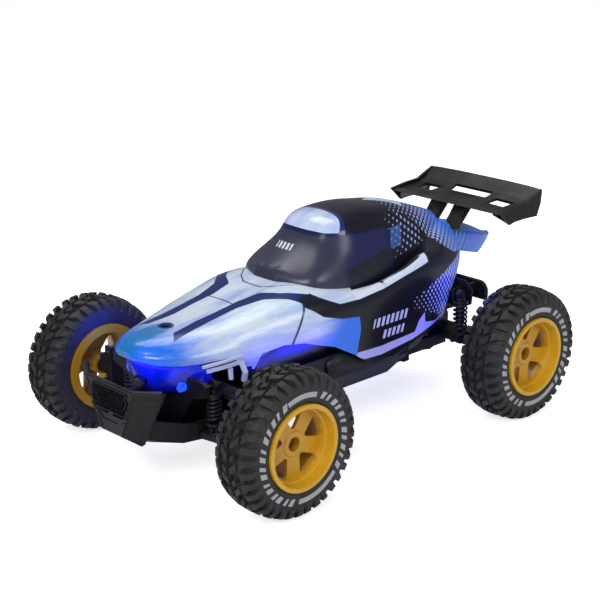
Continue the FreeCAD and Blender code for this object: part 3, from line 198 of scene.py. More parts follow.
def cloud(tree, vector, scale, detail=3.0, stretch=(1.0, 1.0, 1.0), roughness=0.55):
    """Soft noise from 0 to 1; scale counts features per millimetre."""
    mapping = tree.nodes.new("ShaderNodeMapping")
    fill(tree, mapping, Vector=vector, Scale=stretch)
    node = tree.nodes.new("ShaderNodeTexNoise")
    fill(tree, node, Vector=mapping.outputs[0], Scale=scale, Detail=detail, Roughness=roughness)
    return Field(tree, node.outputs["Fac"])


def plain_tree(name):
    material = bpy.data.materials.new(name)
    material.use_nodes = True
    return material, material.node_tree, material.node_tree.nodes["Principled BSDF"]


def raise_by(tree, shader, height, distance):
    """Relief on the surface, from a height of 0 to 1 and its distance in metres."""
    bump = tree.nodes.new("ShaderNodeBump")
    fill(tree, bump, Strength=1.0, Distance=distance, Height=height)
    fill(tree, shader, Normal=bump.outputs["Normal"])


# ---- shared surface effects

def outputs_of(tree, node):
    return {socket.name: Field(tree, socket) for socket in node.outputs}


def node_group(family, name, inputs, outputs):
    """A node group with named sockets, its inputs by name and its output node."""
    tree = bpy.data.node_groups.new(name, family)
    for label, kind, value in inputs:
        socket = tree.interface.new_socket(name=label, in_out="INPUT", socket_type=f"NodeSocket{kind}")
        if value is not None:
            socket.default_value = value
    for label, kind in outputs:
        tree.interface.new_socket(name=label, in_out="OUTPUT", socket_type=f"NodeSocket{kind}")
    given = tree.nodes.new("NodeGroupInput")
    return tree, outputs_of(tree, given), tree.nodes.new("NodeGroupOutput")


def make_moulded_grain():
    """Fine moulded grain: a height and a slight change of gloss."""
    tree, given, result = node_group(
        "ShaderNodeTree", "moulded_grain",
        [("Grains per mm", "Float", 2.5), ("Gloss change", "Float", 0.08)],
        [("Height", "Float"), ("Gloss", "Float")],
    )
    _, vector = place_in_mm(tree)
    fine = tree.nodes.new("ShaderNodeTexNoise")
    fill(tree, fine, Vector=vector, Scale=given["Grains per mm"], Detail=2.0)
    broad = cloud(tree, vector, 0.12)
    gloss = (broad - 0.5) * given["Gloss change"] * 2.0
    fill(tree, result, Height=fine.outputs["Fac"], Gloss=gloss)
    return tree


def make_worn_edges():
    """A mask that is bright along sharp outer edges, broken up by noise."""
    tree, given, result = node_group(
        "ShaderNodeTree", "worn_edges",
        [("Width", "Float", 0.0008), ("Amount", "Float", 0.6)],
        [("Mask", "Float")],
    )
    _, vector = place_in_mm(tree)
    bevel = tree.nodes.new("ShaderNodeBevel")
    bevel.samples = 4
    fill(tree, bevel, Radius=given["Width"])
    geometry = tree.nodes.new("ShaderNodeNewGeometry")
    dot = tree.nodes.new("ShaderNodeVectorMath")
    dot.operation = "DOT_PRODUCT"
    tree.links.new(bevel.outputs[0], dot.inputs[0])
    tree.links.new(geometry.outputs["Normal"], dot.inputs[1])
    edge = ramp(Field(tree, dot.outputs["Value"]), 0.985, 0.90)
    broken = ramp(cloud(tree, vector, 0.6, 4.0), 0.42, 0.62)
    fill(tree, result, Mask=edge * broken * given["Amount"])
    return tree


def make_fine_dust():
    """Dust that settles on upward faces and in patches."""
    tree, given, result = node_group("ShaderNodeTree", "fine_dust", [("Amount", "Float", 0.3)],
                                     [("Mask", "Float")])
    _, vector = place_in_mm(tree)
    geometry = tree.nodes.new("ShaderNodeNewGeometry")
    split = tree.nodes.new("ShaderNodeSeparateXYZ")
    tree.links.new(geometry.outputs["Normal"], split.inputs[0])
    upward = ramp(Field(tree, split.outputs[2]), -0.2, 1.0)
    patches = ramp(cloud(tree, vector, 0.05, 5.0), 0.35, 0.75)
    fill(tree, result, Mask=upward * patches * given["Amount"])
    return tree


GRAIN = make_moulded_grain()
EDGES = make_worn_edges()
DUST = make_fine_dust()


def use(tree, group, **values):
    """Places an effect with its own values, and gives its outputs by name."""
    node = tree.nodes.new("ShaderNodeGroup")
    node.node_tree = group
    fill(tree, node, **values)
    return outputs_of(tree, node)


def moulded(name, colour, gloss=0.45, grain=0.00004, edge=0.5, dust=0.12, metal=0.0, coat=0.0, lighter=2.2):
    """Moulded plastic, rubber or metal with grain, slightly worn edges and a little dust."""
    material, tree, shader = plain_tree(name)
    _, vector = place_in_mm(tree)
    grained = use(tree, GRAIN, Grains_per_mm=2.5)
    wear = use(tree, EDGES, Amount=edge)["Mask"]
    dusted = use(tree, DUST, Amount=dust)["Mask"]
    dark = tuple(channel * 0.75 for channel in colour)
    bright = tuple(min(channel * lighter + 0.01, 1.0) for channel in colour)
    body = mix(cloud(tree, vector, 0.07, 4.0), dark, colour)
    dusty = mix(dusted, mix(wear, body, bright), (0.30, 0.28, 0.26))
    fill(tree, shader, Base_Color=dusty, Roughness=grained["Gloss"] + gloss + dusted * 0.25, Metallic=metal,
         Specular_IOR_Level=0.32, Coat_Weight=coat, Coat_Roughness=0.12)
    raise_by(tree, shader, grained["Height"], grain)
    return material


# ---- body paint

WHITE = (0.74, 0.80, 0.95)
ICE = (0.36, 0.47, 0.93)
LAVENDER = (0.30, 0.31, 0.88)
AZURE = (0.012, 0.17, 0.88)
TURQUOISE = (0.0, 0.20, 0.52)
NAVY = (0.003, 0.018, 0.15)
INK = (0.006, 0.006, 0.016)

STRIPE_INNER = [(-172, 12), (-132, 12), (-114, 10), (-98, 11), (-81, 11), (-65, 14), (-58, 25), (-50, 32),
                (-41, 38), (-35, 43), (-26, 47), (180, 47)]
STRIPE_OUTER = [(-172, 19), (-138, 19), (-120, 17.5), (-103, 17.5), (-87, 18), (-70, 23), (-58, 34),
                (-53, 41), (-48, 45), (-41, 47.5), (-26, 60), (180, 60)]
BAND_LOW = [(-172, 120), (-56, 101), (-53, 99), (-48, 96), (-41, 91), (-26, 86.5), (-10, 84.5), (-9, 40),
            (180, 40)]
BAND_HIGH = [(-172, 112), (-50, 112), (-41, 103), (-35, 100), (-26, 96), (-9, 95.5), (13, 97.5), (34, 101.5),
             (58, 105.5), (61, 150), (180, 150)]
SHOULDER_HIGH = [(-172, 99), (-28, 99), (13, 101), (34, 105), (58, 111), (180, 120)]
SILL_LOW = [(-30, 66), (-15, 58.5), (-7, 55), (9, 54), (40, 56.5), (66, 61.5), (180, 90)]
SILL_HIGH = [(-30, 66), (-15, 61), (9, 60), (42, 61), (46, 68), (52, 72.5), (53, 65), (66, 62.5), (180, 90)]
SWEEP_HIGH = [(-172, 160), (46, 160), (47, 138), (58, 134), (70, 127), (76, 120), (84, 111), (96, 104),
              (180, 90)]
SWEEP_LOW = [(-172, 40), (36, 40), (39, 84), (53, 88), (70, 93), (85, 97), (100, 99.5), (180, 108)]
STRIPE_FLOOR = [(-172, 80), (-60, 80), (-53, 99), (-41, 91), (180, 91)]
# Heights of the line below which the nose's lower edge is painted as shade.
LIP_SHADE_LINE = [(-172, 84.5), (-160, 83), (-154, 81), (-141, 79.5), (-130, 79), (-108, 79.5), (-101, 72), (180, 60)]
COWL = [(0, -58), (8, -58), (16, -53), (25, -42), (27, -30), (60, -30)]


def dots(along, across, pitch, radius):
    """Round dots on a diagonal grid, from the distance along and across the surface."""
    offsets = [fraction(value / pitch) - 0.5 for value in (along + across, along - across)]
    distance = reckon(along.tree, "SQRT", offsets[0] * offsets[0] + offsets[1] * offsets[1])
    return below(distance, radius, 0.05)


def marbled_ground(y, z, out, streaks, wide):
    """The pale nose and hood with lavender low sides, blue nose tip and blue cheeks."""
    pale = mix(ramp(streaks, 0.40, 0.66), WHITE, ICE)
    pale = mix(ramp(wide, 0.30, 0.55) * 0.35, pale, (0.62, 0.80, 0.84))
    side_low = ramp(z - line_through(y, [(-172, 84), (-120, 78), (-60, 84), (-20, 82), (180, 70)]), 6, -9)
    colour = mix(side_low * (ramp(streaks, 0.25, 0.55) * 0.6 + 0.4), pale, LAVENDER)
    nose = ramp(y + ramp(streaks, 0.3, 0.7) * 16 - out * 0.25, -112, -146)
    tongue = between(out, -1, 7.5, 1.2) * ramp(y, -126, -136)
    colour = mix(tongue * 0.9, mix(nose, colour, AZURE), TURQUOISE)
    cheek = ramp(y + (86 - z) * 0.9 + (streaks - 0.5) * 26, -48, -18) * below(z, 92)
    return mix(cheek, colour, AZURE)


def dark_areas(y, z, out, behind_arch, band_high, shoulder_high):
    """Masks of the hood's two stripes, and of the dark band, flank and canopy."""
    stripe = between(out, line_through(y, STRIPE_INNER), line_through(y, STRIPE_OUTER))
    stripe = stripe * above(y + (out - 12) * 0.8, -132) * below(y, -40)
    stripe = stripe * above(z, line_through(y, STRIPE_FLOOR))
    step = above(y + (out - 33) * 0.7, -4.5) * above(z, 92)
    step = step * most(above(z, shoulder_high - 0.6, 0.4), below(out, 41.0))
    band = between(z, line_through(y, BAND_LOW), band_high) * above(y, -53) * above(out, 36)
    upper = most(most(step, above(y, 59)), above(z, 119))
    return stripe, most(most(band, behind_arch * below(z, band_high)), upper)


def dot_fades(colour, y, z, out, shoulder_high):
    """Dots that grow towards the tail on the flank, the crown and the side window."""
    sweep_high, sweep_low = line_through(y, SWEEP_HIGH), line_through(y, SWEEP_LOW)
    growth = ramp(y + (z - 70) * 0.35, 36, 96)
    flank_dots = dots(y - (out - 48) * 0.9, z + y * 0.12, 5.0, growth * 0.34 + 0.12) * below(z, sweep_low)
    flank_low = line_through(y, [(-172, 120), (36, 95), (40, 78), (70, 66), (180, 60)])
    crown_zone = above(z, sweep_high - out * 0.1 + 1.5) * below(out, 23.0 + growth * 14)
    crown_dots = dots(y - z * 0.75, out * 1.15, 5.2, ramp(y, 40, 112) * 0.34 + 0.15) * crown_zone
    window_zone = between(z, 101, 137) * between(y, 38, 72) * below(z, sweep_high - 1.0)
    window_dots = dots(y, z - y * 0.2, 6.0, ramp(y, 34, 62) * 0.16 + 0.08) * window_zone
    marks = most(flank_dots * above(z, flank_low), crown_dots * above(y, 45))
    marks = most(marks, window_dots * above(z, shoulder_high + 1.0))
    tail = ramp(y + (z - 100) * 0.3, 84, 118)
    colour = mix(tail * most(crown_zone, below(z, sweep_low)), colour, (0.01, 0.09, 0.62))
    return mix(marks, colour, mix(tail, (0.40, 0.50, 0.95), (0.05, 0.25, 0.95)))


def small_marks(colour, y, z, out):
    """A hatched square, a pale sliver on the crown and two rows of slanted bars on the flank."""
    hatch = between(y - (z - 122) * 0.5, 38, 50) * between(z, 116, 128)
    lines = between(fraction((y + z * 1.6) / 1.9), 0.15, 0.6, 0.08)
    colour = mix(hatch * lines * 0.8, colour, (0.12, 0.30, 0.90))
    sliver = below(out, (y - 40) * 0.5) * between(y, 42, 78 - out * 0.9) * above(z, 128)
    colour = mix(sliver, colour, (0.55, 0.70, 0.95))
    slanted = y - (z - 78) * 0.32
    ends = between(slanted, line_through(z, [(60, 6), (69, 6), (70, 2), (80, 2), (110, 2)]), 34)
    rows = most(between(z, 73.5, 79.5, 0.2), between(z, 64.5, 70.0, 0.2) * above(y, 10))
    bars = ends * between(fraction(slanted / 4.4), 0.2, 0.78, 0.05) * rows
    return mix(bars * above(out, 46), colour, (0.50, 0.55, 0.92))


def seams_and_screw_shade(x, y, z, out):
    """A mask of the hood's and the sides' seams and of the nose screw's dip; the dip's darkening is painted
    shade in its recess.
    """
    seam_across = between(y + out * 0.12, -83.4, -82.6, 0.2) * below(out, 12)
    cowl = line_through(out, COWL)
    seam_cowl = between(y, cowl - 0.45, cowl + 0.45, 0.2) * between(z, 103, 111) * below(out, 28)
    seam_side = between(y + (100 - z) * 0.66, -53.8, -52.2, 0.2) * between(z, 70, 101) * above(out, 40)
    aside, along = x / 5.5, (y + 128.3) / 4.6
    # Painted shade: the oval round the nose screw is darkened as a shaded recess.
    screw_dip_shade = below(aside * aside + along * along, 1.0, 0.1)
    return most(most(seam_across, seam_cowl), most(seam_side, screw_dip_shade))


def make_body_paint():
    material, tree, shader = plain_tree("body_paint")
    (x, y, z), vector = place_in_mm(tree)
    out = size_of(x)
    streaks = cloud(tree, vector, 0.055, 5.0, (1.6, 0.22, 2.2), 0.62)
    wide = cloud(tree, vector, 0.018, 2.0, (1.0, 0.5, 1.4))
    band_high, shoulder_high = line_through(y, BAND_HIGH), line_through(y, SHOULDER_HIGH)
    behind_arch = above(y, line_through(z, [(40, -12), (61, -14), (73, -11), (87, -8), (160, -8)]))
    stripe, dark = dark_areas(y, z, out, behind_arch, band_high, shoulder_high)
    colour = mix(dark, mix(stripe, marbled_ground(y, z, out, streaks, wide), NAVY), INK)
    shoulder = between(z, band_high, shoulder_high) * above(out, 40.5) * below(y, 59) * above(y, -12)
    shoulder = shoulder * (1.0 - between(y + (z - 100) * 0.5, 13, 15.4))
    colour = mix(shoulder, colour, WHITE)
    sill = between(z, line_through(y, SILL_LOW), line_through(y, SILL_HIGH)) * behind_arch
    colour = mix(sill, colour, (0.42, 0.43, 0.92))
    colour = small_marks(dot_fades(colour, y, z, out, shoulder_high), y, z, out)
    seams_and_dip_shade = seams_and_screw_shade(x, y, z, out)
    # Seams are painted as dark joints; the nose screw's dip is painted dark as shade in its recess.
    colour = mix(seams_and_dip_shade * 0.92, colour, (0.004, 0.012, 0.07))
    # Painted shade and blue glow: below the nose's lip line the skin turns deep blue, standing in for its
    # shaded, blue-lit underside.
    lip = below(z, line_through(y, LIP_SHADE_LINE), 0.35) * below(y, -96)
    colour = mix(lip, colour, (0.0, 0.006, 0.16))
    dust = use(tree, DUST, Amount=0.05)["Mask"]
    fill(tree, shader, Base_Color=colour, Roughness=0.27 + (wide - 0.5) * 0.10 + dust * 0.3,
         Specular_IOR_Level=0.35, Coat_Weight=0.55 - most(dark, stripe) * 0.42, Coat_Roughness=0.08)
    raise_by(tree, shader, 1.0 - seams_and_dip_shade, 0.0009)
    return material


def make_roof_paint():
    material, tree, shader = plain_tree("roof_paint")
    (x, y, z), vector = place_in_mm(tree)
    streaks = cloud(tree, vector, 0.05, 4.0, (1.4, 0.35, 1.0))
    colour = mix(ramp(streaks, 0.35, 0.7), (0.66, 0.76, 0.96), (0.30, 0.42, 0.90))
    rear = line_through(z, [(120, -4.5), (131.8, -3.5), (150, 8.6)]) - 2.2
    low = line_through(y, [(-60, 134.2), (-28, 134.2), (-15.8, 132.4), (-3.5, 131.8), (20, 131.8)]) + 1.3
    edge = most(above(y, rear), below(z, low))
    colour = mix(edge, colour, NAVY)
    fill(tree, shader, Base_Color=colour, Roughness=0.22 + (streaks - 0.5) * 0.1, Coat_Weight=0.7,
         Coat_Roughness=0.08)
    raise_by(tree, shader, 1.0 - edge * 0.6, 0.0003)
    return material


def make_tail_paint():
    material, tree, shader = plain_tree("tail_paint")
    (x, y, z), vector = place_in_mm(tree)
    streaks = cloud(tree, vector, 0.05, 4.0, (1.4, 0.35, 1.0))
    colour = mix(ramp(streaks, 0.3, 0.7), (0.01, 0.14, 0.86), (0.03, 0.26, 0.98))
    fade = ramp(y, 150, 112)
    spots = dots(y - z * 0.5, size_of(x) * 1.15, 5.2, fade * 0.34)
    colour = mix(spots, colour, (0.20, 0.42, 0.98))
    gaps = dots(y - z * 0.5 + 2.6, size_of(x) * 1.15, 5.2, fade * 0.3)
    colour = mix(gaps * 0.8, colour, (0.004, 0.02, 0.25))
    fill(tree, shader, Base_Color=colour, Roughness=0.26 + (streaks - 0.5) * 0.1, Coat_Weight=0.6,
         Coat_Roughness=0.1)
    raise_by(tree, shader, streaks, 0.00005)
    return material


def make_smoked_screen():
    material, tree, shader = plain_tree("smoked_screen")
    (x, y, z), vector = place_in_mm(tree)
    haze = cloud(tree, vector, 0.03, 3.0)
    colour = mix(ramp(y, -30, 20), (0.035, 0.035, 0.075), (0.014, 0.014, 0.05))
    brow = line_through(y, [(-60, 132.6), (-28, 132.6), (-3, 130.6), (38, 128)])
    rim = most(above(z, brow), above(y, 33.5))
    sill = line_through(y, [(-60, 111.5), (-4, 111.5), (36, 117.5), (60, 119)])
    colour = mix(ramp(y, -12, -4), colour, (0.010, 0.012, 0.085))
    colour = mix(below(z, sill) * ramp(y, -9, -5), colour, INK)
    colour = mix(rim, colour, (0.002, 0.008, 0.07))
    badge_y = y - z * 0.55 + 93.5
    badge = between(x + badge_y * 0.3, -10.5, 3.5, 0.1) * between(z, 122.5, 125.6, 0.15) * below(y, -22)
    badge = badge * between(fraction((x + z * 0.45) / 3.4), 0.12, 0.7, 0.05)
    colour = mix(badge, colour, (0.75, 0.78, 0.86))
    fill(tree, shader, Base_Color=colour, Roughness=0.24 + haze * 0.14, Specular_IOR_Level=0.5,
         Coat_Weight=0.15, Coat_Roughness=0.25)
    raise_by(tree, shader, haze, 0.00006)
    return material


def make_lit_panel(name, low, high, strength):
    """Dark plastic with a painted blue glow towards its top: a blue base colour and emission stand in for
    lamp light, though the panel is no lamp.
    """
    material, tree, shader = plain_tree(name)
    (x, y, z), vector = place_in_mm(tree)
    grain = use(tree, GRAIN, Grains_per_mm=2.5)
    patches = ramp(cloud(tree, vector, 0.035, 2.0), 0.30, 0.62)
    lit = ramp(z, low, high) * (patches * 0.75 + 0.25)
    # Painted light: where lit, the base colour turns blue and the surface emits blue light.
    fill(tree, shader, Base_Color=mix(lit, (0.004, 0.004, 0.010), (0.0, 0.02, 0.55)),
         Emission_Color=mix(lit, (0.0, 0.0, 0.0), (0.0, 0.006, 1.0)), Emission_Strength=strength,
         Roughness=grain["Gloss"] + 0.34, Coat_Weight=0.4)
    raise_by(tree, shader, grain["Height"], 0.00002)
    return material


def make_lamp_lens():
    material, tree, shader = plain_tree("blue_lamp_lens")
    _, vector = place_in_mm(tree)
    sparkle = cloud(tree, vector, 1.2, 2.0)
    colour = mix(ramp(sparkle, 0.3, 0.7), (0.0, 0.02, 0.9), (0.03, 0.12, 1.0))
    fill(tree, shader, Base_Color=colour, Emission_Color=colour, Emission_Strength=1.1, Roughness=0.15)
    raise_by(tree, shader, sparkle, 0.0001)
    return material


def make_rim_plastic():
    material, tree, shader = plain_tree("amber_rim_plastic")
    (x, y, z), vector = place_in_mm(tree)
    grain = use(tree, GRAIN, Grains_per_mm=3.0)
    wear = use(tree, EDGES, Amount=0.35, Width=0.0006)["Mask"]
    # Painted shade: the rim is darker towards the inside of the wheel and lighter at its outer face.
    depth = ramp(size_of(x), 88, 108)
    colour = mix(depth, (0.46, 0.215, 0.003), (0.70, 0.385, 0.010))
    colour = mix(ramp(cloud(tree, vector, 0.09, 3.0), 0.35, 0.7) * 0.35, colour, (0.50, 0.26, 0.006))
    colour = mix(wear, colour, (0.85, 0.58, 0.12))
    fill(tree, shader, Base_Color=colour, Roughness=grain["Gloss"] + 0.34, Coat_Weight=0.25,
         Coat_Roughness=0.2, Subsurface_Weight=0.12, Subsurface_Scale=0.002)
    raise_by(tree, shader, grain["Height"], 0.00003)
    return material


def make_tyre_rubber():
    material, tree, shader = plain_tree("tyre_rubber")
    (x, y, z), vector = place_in_mm(tree)
    grain = use(tree, GRAIN, Grains_per_mm=3.5)
    wear = use(tree, EDGES, Amount=0.7, Width=0.0007)["Mask"]
    dust = use(tree, DUST, Amount=0.10)["Mask"]
    colour = mix(cloud(tree, vector, 0.10, 5.0), (0.007, 0.007, 0.008), (0.020, 0.020, 0.023))
    colour = mix(wear, colour, (0.055, 0.055, 0.06))
    colour = mix(dust, colour, (0.16, 0.15, 0.14))
    fill(tree, shader, Base_Color=colour, Roughness=grain["Gloss"] + 0.62, Sheen_Weight=0.06)
    raise_by(tree, shader, grain["Height"], 0.00007)
    return material


PAINT = {
    "body_plastic": make_body_paint(),
    "roof_plastic": make_roof_paint(),
    "tail_plastic": make_tail_paint(),
    "smoked_window": make_smoked_screen(),
    "lamp_lens": make_lamp_lens(),
    "rim_plastic": make_rim_plastic(),
    "tyre_rubber": make_tyre_rubber(),
    "chassis_plastic": moulded("chassis_black", (0.006, 0.006, 0.008), 0.46, 0.00005),
    "bumper_plastic": moulded("bumper_black", (0.006, 0.006, 0.007), 0.40, 0.00006, edge=0.8),
    "wing_plastic": moulded("wing_black", (0.0045, 0.0045, 0.0055), 0.42, 0.00003, edge=0.5),
    "arm_plastic": moulded("arm_black", (0.008, 0.008, 0.009), 0.5, 0.00005),
    "gearbox_plastic": moulded("gearbox_black", (0.010, 0.010, 0.012), 0.5, 0.00005),
    "damper_plastic": moulded("damper_black", (0.009, 0.009, 0.011), 0.34, 0.00002, coat=0.2),
    "servo_plastic": moulded("servo_grey", (0.04, 0.04, 0.045), 0.45),
    "gear_plastic": moulded("gear_white", (0.62, 0.61, 0.56), 0.4, lighter=1.2),
    "switch_plastic": moulded("switch_grey", (0.08, 0.08, 0.085), 0.5),
    "battery_wrap": moulded("battery_wrap_blue", (0.02, 0.10, 0.42), 0.28, 0.00001, coat=0.4),
    "circuit_board": moulded("circuit_green", (0.01, 0.12, 0.05), 0.35, 0.00002, coat=0.3),
    "screw_steel": moulded("screw_steel", (0.42, 0.42, 0.44), 0.32, 0.00002, metal=1.0, lighter=1.5),
    "spring_steel": moulded("spring_black_steel", (0.03, 0.03, 0.035), 0.38, 0.00002, metal=0.6),
    "motor_steel": moulded("motor_steel", (0.48, 0.48, 0.50), 0.30, 0.00002, metal=1.0, lighter=1.4),
    "pinion_brass": moulded("pinion_brass", (0.65, 0.42, 0.14), 0.30, 0.00002, metal=1.0, lighter=1.3),
}
PRINT = moulded("sidewall_print", (0.46, 0.46, 0.49), 0.55, 0.00003, edge=0.0, dust=0.2)


def finish_cad_nodes():
    for piece in frame["record"]["subparts"]:
        obj = nodes[piece["node"]]
        slot = piece["material_slot"]
        obj.data.materials.clear()
        obj.data.materials.append(PAINT[slot])


def smooth_share(value):
    value = min(max(value, 0.0), 1.0)
    return value * value * (3 - 2 * value)


def reshape(x, y, z):
    """Rakes the canopy's front, rounds its front corners and lifts the nose's lower edge."""
    front = smooth_share((8 - y) / 42) * smooth_share((z - 107) / 24)
    nose = smooth_share((-95 - y) / 12)
    if z < 87:
        z = 87 - (87 - z) * (1 - 0.42 * nose)
    back = 13.0 * front + 4.5 * smooth_share((-140 - y) / 32)
    return x * (1 - 0.20 * front), y + back, z


def make_skin():
    for name, slot in (("body_shell", "body_plastic"), ("windscreen", "smoked_window"),
                       ("roof_panel", "roof_plastic")):
        mesh = nodes[name].data.copy()
        for vertex in mesh.vertices:
            vertex.co = Vector(reshape(*(vertex.co / MM))) * MM
        mesh.materials.clear()
        to_object(f"{name}_shaped", mesh, "chassis", (PAINT[slot],), (name,))


# ---- mesh building

def new_object(name, data):
    obj = bpy.data.objects.new(name, data)
    bpy.context.scene.collection.objects.link(obj)
    return obj


def to_object(name, mesh, body, materials, replaced=()):
    """A visible piece on its body, in place of the CAD nodes that it replaces."""
    obj = new_object(name, mesh)
    for material in materials:
        obj.data.materials.append(material)
    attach(obj, body)
    if replaced:
        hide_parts(*replaced)
    return obj


def pattern_tree(name, sizes):
    """A geometry tree with a shape, its sizes and a material, and the index of each copy."""
    inputs = [("Shape", "Geometry", None), *sizes, ("Material", "Material", None)]
    tree, given, result = node_group("GeometryNodeTree", name, inputs, [("Shape", "Geometry")])
    return tree, given, result, Field(tree, tree.nodes.new("GeometryNodeInputIndex").outputs[0])


def place_copies(tree, given, result, position=None, rotation=None):
    """Copies of the given shape at counted points, made real and painted."""
    names = ("Points", "InstanceOnPoints", "RealizeInstances", "SetMaterial")
    points, place, realise, paint = [tree.nodes.new(f"GeometryNode{name}") for name in names]
    fill(tree, points, Count=given["Count"])
    fill(tree, place, Points=points.outputs[0], Instance=given["Shape"])
    if position:
        fill(tree, points, Position=position)
    if rotation:
        fill(tree, place, Rotation=rotation)
    fill(tree, realise, Geometry=place.outputs[0])
    fill(tree, paint, Geometry=realise.outputs[0], Material=given["Material"])
    fill(tree, result, Shape=paint.outputs[0])


def repeat_tree():
    """Copies of the given shape at equal turns about the X axis."""
    tree, given, result, index = pattern_tree("repeat_round_axle", [("Count", "Int", TREAD_PITCHES)])
    vector = tree.nodes.new("ShaderNodeCombineXYZ")
    fill(tree, vector, X=index / given["Count"] * math.tau)
    rotation = tree.nodes.new("FunctionNodeEulerToRotation")
    fill(tree, rotation, Euler=vector.outputs[0])
    place_copies(tree, given, result, rotation=rotation.outputs[0])
    return tree


REPEAT = repeat_tree()


def grow(mesh, tree, **inputs):
    """The mesh that a geometry tree makes from this one."""
    helper = new_object("pattern", mesh)
    modifier = helper.modifiers.new("pattern", "NODES")
    modifier.node_group = tree
    sockets = {item.name: item.identifier for item in tree.interface.items_tree if item.in_out == "INPUT"}
    for label, value in inputs.items():
        modifier[sockets[label.replace("_", " ")]] = value
    bpy.context.view_layer.update()
    graph = bpy.context.evaluated_depsgraph_get()
    made = bpy.data.meshes.new_from_object(helper.evaluated_get(graph), depsgraph=graph)
    bpy.data.objects.remove(helper)
    return made


def to_mesh(bm, name):
    mesh = bpy.data.meshes.new(name)
    bm.to_mesh(mesh)
    bm.free()
    return mesh


def bridge(bm, first, second):
    """Faces between two closed loops of equal length."""
    for index in range(len(first)):
        after = (index + 1) % len(first)
        bm.faces.new((first[index], first[after], second[after], second[index]))


def lathe(bm, profile, steps):
    """A closed ring of (x, radius) turned about the X axis."""
    rings = []
    for step in range(steps):
        angle = math.tau * step / steps
        rings.append([bm.verts.new((x, radius * math.sin(angle), radius * math.cos(angle)))
                      for x, radius in profile])
    for here, following in zip(rings, rings[1:] + rings[:1]):
        bridge(bm, here, following)


def crown(across, top=TYRE_RADIUS, drop=3.4):
    """The radius of the rounded tread at a distance from its middle."""
    return top - drop * (abs(across) / TYRE_HALF_WIDTH) ** 3


def add_lug(bm, outline):
    """One tread block: its outline is (arc along the tread, distance across), in millimetres."""
    middle = Vector((sum(p[0] for p in outline), sum(p[1] for p in outline))) / len(outline)
    foot, head = [], []
    for arc, across in outline:
        for level, ring, shrink in ((crown(across, 41.0, 4.2), foot, 1.0), (crown(across), head, 0.86)):
            spot = middle + (Vector((arc, across)) - middle) * shrink
            angle = spot[0] / TYRE_RADIUS
            ring.append(bm.verts.new((spot[1], level * math.sin(angle), level * math.cos(angle))))
    bm.faces.new(head)
    bridge(bm, foot, head)


def add_shoulder_lug(bm, start, width, side):
    """A block that runs over the tread's edge and down the side wall."""
    profile = [(8.6, 44.2), (12.2, 43.3), (14.6, 41.4), (15.45, 39.2), (15.5, 36.4)]
    inner = [(8.8, 40.4), (12.0, 39.4), (13.8, 38.6), (14.5, 37.8), (14.9, 36.0)]
    rows = []
    for share, squeeze in ((0.0, 0.0), (0.12, 1.0), (0.88, 1.0), (1.0, 0.0)):
        row = []
        for index, (top, low) in enumerate(zip(profile, inner)):
            across, radius = top if squeeze else low
            angle = (start + width * share + index * 0.35) / TYRE_RADIUS
            row.append(bm.verts.new((side * across, radius * math.sin(angle), radius * math.cos(angle))))
        rows.append(row)
    for first, second in zip(rows, rows[1:]):
        for index in range(len(profile) - 1):
            bm.faces.new((first[index], first[index + 1], second[index + 1], second[index]))
    for index in (0, -1):
        bm.faces.new([row[index] for row in rows])


def make_tread_mesh():
    """One pitch of the tread: paired chevrons, middle blocks and shoulder blocks."""
    bm = bmesh.new()
    pitch = math.tau * TYRE_RADIUS / TREAD_PITCHES
    for side, shift in ((1, 0.0), (-1, pitch / 2)):
        blocks = [
            [(0.6, 0.5), (5.4, 0.5), (10.0, 6.9), (5.2, 6.9)],
            [(8.6, 1.6), (12.6, 1.6), (14.6, 4.4), (11.4, 4.9)],
            [(5.6, 7.9), (10.8, 7.9), (12.6, 12.2), (8.4, 12.2)],
        ]
        for outline in blocks:
            add_lug(bm, [(arc + shift, side * across) for arc, across in outline])
        add_shoulder_lug(bm, shift - 0.6, 5.4, side)
        add_shoulder_lug(bm, shift + 8.2, 4.6, side)
    bmesh.ops.recalc_face_normals(bm, faces=bm.faces)
    return to_mesh(bm, "tread_pitch")


TREAD_PITCH = make_tread_mesh()

TYRE_PROFILE = [
    (14.0, 24.6), (14.0, 26.8), (14.4, 27.6), (15.1, 28.6), (15.3, 30.2), (15.1, 33.0), (15.0, 35.6),
    (14.6, 37.6), (13.2, 39.3), (10.4, 40.7), (6.0, 41.3), (0.0, 41.5), (-6.0, 41.3), (-10.4, 40.7),
    (-13.2, 39.3), (-14.6, 37.6), (-15.0, 35.6), (-15.1, 33.0), (-15.2, 31.2), (-14.4, 29.6), (-14.0, 28.7),
    (-14.0, 24.6), (-10.6, 24.6), (-12.0, 34.0), (-8.0, 38.6), (8.0, 38.6), (12.0, 34.0), (10.6, 24.6),
]


def add_arc_mark(bm, side, start, end, inner, outer, lean=0.0):
    """A thin raised mark on the outer side wall, between two angles and two radii."""
    steps = max(int(abs(end - start) / 4), 1)
    columns = []
    for step in range(steps + 1):
        column = []
        for radius, shift in ((inner, 0.0), (outer, lean)):
            angle = math.radians(start + (end - start) * step / steps + shift)
            y, z = radius * math.sin(angle), radius * math.cos(angle)
            column.append([bm.verts.new((side * x, y, z)) for x in (15.36, 14.86)])
        columns.append(column)
    for first, second in zip(columns, columns[1:]):
        bm.faces.new((first[0][0], first[1][0], second[1][0], second[0][0]))
        for row in (0, 1):
            bm.faces.new((first[row][0], second[row][0], second[row][1], first[row][1]))
    for column in (columns[0], columns[-1]):
        bm.faces.new((column[0][0], column[1][0], column[1][1], column[0][1]))


